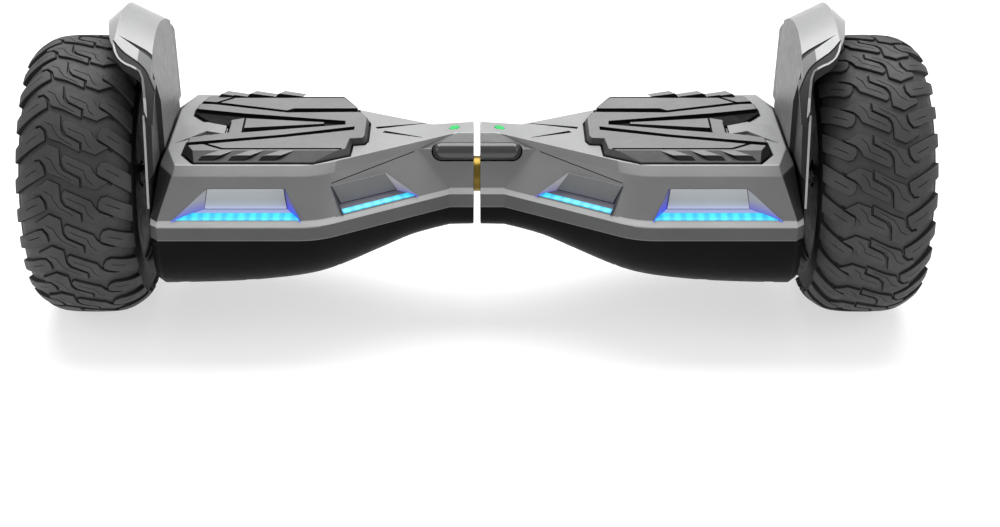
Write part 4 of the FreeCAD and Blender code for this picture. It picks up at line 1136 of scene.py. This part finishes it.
def tyre():
    """The left tyre: a lugged tread over a smooth carcass, closed through the rim."""
    run, outline = profile_curve()
    lean = np.gradient(outline, axis=0)
    lean /= np.linalg.norm(lean, axis=1)[:, None]

    def on_tyre(across, along, level):
        width = np.interp(across, run, outline[:, 0])
        radius = np.interp(across, run, outline[:, 1])
        out = Vector((-np.interp(across, run, lean[:, 1]), np.interp(across, run, lean[:, 0])))
        sunk = out * -tread_depth(across) * (1 - level)
        angle = along / TYRE_RADIUS
        radius += sunk.y
        return (-WHEEL + width + sunk.x, -radius * math.sin(angle), AXLE + radius * math.cos(angle))

    form = bmesh.new()
    rows, faces = tread_tile()
    for pitch in range(PITCHES):
        verts = [form.verts.new(on_tyre(x, y + pitch * PITCH, level)) for x, y, level in rows]
        for face in faces:
            made = form.faces.new([verts[corner] for corner in face])
            levels = [rows[corner][2] for corner in face]
            # The lugs' feet and the faces near the tread's edges get painted shade.
            edge = min(levels) < 0.1 and max(levels) > 0.5
            made.material_index = int(edge or max(abs(rows[corner][0]) for corner in face) > 50)
    start_y, end_y = SEAM[0][1], SEAM[-1][1]
    rim_x, _, rim_z = on_tyre(TREAD_EDGE, 0, 0)
    first = rim_x + WHEEL, rim_z - AXLE - TYRE_RADIUS
    ring_profile = [first] + [row for row in RIM_PROFILE if row[1] < first[1] - 0.4]
    loops = []
    for flip, offset in ((-1, start_y), (1, end_y)):
        for width, drop in ring_profile[::-1] if flip > 0 else ring_profile:
            ring = []
            for step in range(PITCHES * SIDE_STEPS):
                angle = (offset + step / SIDE_STEPS * PITCH) / TYRE_RADIUS
                radius = TYRE_RADIUS + drop
                ring.append(form.verts.new((-WHEEL + flip * width, -radius * math.sin(angle),
                                            AXLE + radius * math.cos(angle))))
            loops.append(ring)
    # The side walls down to the rim get painted shade.
    for inner, outer in zip(loops, loops[1:]):
        for step in range(len(inner)):
            after = (step + 1) % len(inner)
            form.faces.new((inner[step], inner[after], outer[after], outer[step])).material_index = 1
    bmesh.ops.remove_doubles(form, verts=form.verts, dist=0.02)
    bmesh.ops.recalc_face_normals(form, faces=form.faces)
    mesh = as_mesh(form, RUBBER)
    mesh.materials.append(RUBBER_SHADE)
    return mesh


def tyres():
    """The left tyre, and the same one turned round for the right wheel."""
    mesh = tyre()
    place("left_tyre_lugged", mesh, "left_wheel", "tyre_rubber", None, ["left_tyre"], 30)
    mesh.transform(Matrix.Rotation(math.pi, 4, "Z"))
    place("right_tyre_lugged", mesh, "right_wheel", "tyre_rubber", None, ["right_tyre"], 30)
    bpy.data.meshes.remove(mesh)


tyres()

# ---------------------------------------------------------------- hub covers

HUB_FACE, HUB_BACK, HUB_RADIUS, SPOKES, BOLT_CIRCLE = 35.5, 31, 57, 6, 44


def hub_cover():
    """The outer face of the right hub motor: a dished disc with raised spokes and a bolt in each gap."""
    profile = [(HUB_BACK, 0), (HUB_BACK, HUB_RADIUS), (33.6, HUB_RADIUS), (34.6, HUB_RADIUS - 1), (34.6, 52),
               (33, 50.4), (32.6, 22), (33.4, 21), (HUB_FACE - 0.6, 20.4), (HUB_FACE, 19.6), (HUB_FACE, 9),
               (HUB_FACE - 0.8, 8), (HUB_FACE - 0.8, 0)]
    disc = as_mesh(revolved([(WHEEL + along, radius) for along, radius in profile], AXLE, 120))
    ribs = []
    for spoke in range(SPOKES):
        turn = Matrix.Translation((0, 0, AXLE)) @ Matrix.Rotation(2 * math.pi * spoke / SPOKES, 4, "X")
        rib = loft([[(WHEEL + x, -wide, 16), (WHEEL + x, wide, 16),
                     (WHEEL + x, wide * 0.62, 53), (WHEEL + x, -wide * 0.62, 53)]
                    for x, wide in ((HUB_BACK + 0.5, 9), (HUB_FACE - 1.2, 7.4), (HUB_FACE - 0.7, 6.6))])
        rib.transform(turn)
        ribs.append(as_mesh(rib))
    return carve(disc, ribs, "UNION")


def hub_bolts():
    """Socket head bolts between the spokes of the right hub cover."""
    bolts = []
    for spoke in range(SPOKES):
        turn = Matrix.Rotation(2 * math.pi * (spoke + 0.5) / SPOKES, 4, "X")
        turn = Matrix.Translation((0, 0, AXLE)) @ turn @ Matrix.Translation((0, 0, BOLT_CIRCLE))
        head = as_mesh(soften(round_bar("X", (WHEEL + 32.2, 0, 0), 3.6, 2.4, 32), 0.35, 40))
        socket = as_mesh(round_bar("X", (WHEEL + 33.4, 0, 0), 1.9, 3, 6))
        bolt = carve(head, [socket])
        bolt.transform(turn)
        bolts.append(bolt)
    return joined(bolts)


pair("hub_face", hub_cover(), "wheel", "hub_paint", HUB, "hub_cover")
pair("hub_bolts", hub_bolts(), "wheel", "zinc_steel", ZINC)

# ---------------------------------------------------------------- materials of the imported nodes

NODE_FINISHES = {
    "chassis": METAL, "axle_clamp": METAL, "heat_sink": METAL, "battery_bracket": METAL,
    "battery_pack": WRAP, "charge_cap": SOFT, "power_button": SOFT, "charge_socket": PORT,
    "power_switch": PORT, "hub_shell": SHELL, "motor_axle": STEEL,
    "motor_bearings": STEEL, "motor_magnets": MAGNET, "motor_stator": MAGNET, "pad_plungers": BLACK_PLASTIC_AND_SHADE,
    "sensor_switches": BLACK_PLASTIC_AND_SHADE, "sensor_board": BOARD, "main_board": BOARD, "pivot_bushings": BRONZE,
    "pivot_shaft": GOLD, "pivot_stop_plate": STEEL,
}
for node, cad_object in frame["nodes"].items():
    stem = node.removeprefix("left_").removeprefix("right_")
    if stem in NODE_FINISHES:
        cad_object.data.materials.clear()
        cad_object.data.materials.append(NODE_FINISHES[stem])

# ---------------------------------------------------------------- floor, light and camera


def pale_floor():
    """A wide pale floor that fills the view."""
    form = bmesh.new()
    bmesh.ops.create_grid(form, x_segments=8, y_segments=8, size=14)
    floor = bpy.data.objects.new("floor", as_mesh(form))
    bpy.context.scene.collection.objects.link(floor)
    nodes = Nodes("pale_floor")
    nodes.colour(0.7, (0.5, 0.5, 0.5), (0.52, 0.52, 0.52))
    nodes.shader.inputs["Roughness"].default_value = 0.6
    nodes.shader.inputs["Specular IOR Level"].default_value = 0.1
    nodes.shader.inputs["Emission Color"].default_value = (1, 1, 1, 1)
    nodes.shader.inputs["Emission Strength"].default_value = 0.6
    floor.data.materials.append(nodes.material)


def soft_box(name, place_at, aim, size, power):
    """A large soft area light that points at a place."""
    data = bpy.data.lights.new(name, "AREA")
    data.shape, data.size, data.size_y, data.energy = "RECTANGLE", size[0], size[1], power
    lamp = bpy.data.objects.new(name, data)
    lamp.location = place_at
    lamp.rotation_euler = (Vector(aim) - Vector(place_at)).to_track_quat("-Z", "Y").to_euler()
    bpy.context.scene.collection.objects.link(lamp)


def studio():
    """A big soft light above and behind the board, a weak one on each side and a white room."""
    soft_box("top_light", (0, 1.0, 2.4), (0, 0, 0.1), (3.4, 2.2), 110)
    soft_box("left_light", (-2.6, -0.7, 1.3), (-0.2, 0, 0.1), (1.6, 1.6), 12)
    soft_box("right_light", (2.6, -0.7, 1.3), (0.2, 0, 0.1), (1.6, 1.6), 12)
    world = bpy.data.worlds.new("white_room")
    world.use_nodes = True
    background = world.node_tree.nodes["Background"]
    background.inputs["Color"].default_value = (1, 1, 1, 1)
    background.inputs["Strength"].default_value = 0.6
    bpy.context.scene.world = world
    bpy.context.scene.view_settings.view_transform = "Standard"


# The camera's distance before the board and its height in metres, its tilt in degrees, its lens.
EYE_DISTANCE, EYE_HEIGHT, EYE_TILT, LENS, LENS_SHIFT = 1.518833, 0.752706, 64.555, 75.9, 0.023


def camera():
    """The view of the board from the front and a little above."""
    data = bpy.data.cameras.new("camera")
    data.lens, data.sensor_width, data.shift_x = LENS, 36, LENS_SHIFT
    data.clip_start, data.clip_end = 0.05, 40
    eye = bpy.data.objects.new("camera", data)
    eye.location = (0, -EYE_DISTANCE, EYE_HEIGHT)
    eye.rotation_euler = (math.radians(EYE_TILT), 0, 0)
    bpy.context.scene.collection.objects.link(eye)
    bpy.context.scene.camera = eye


pale_floor()
studio()
camera()
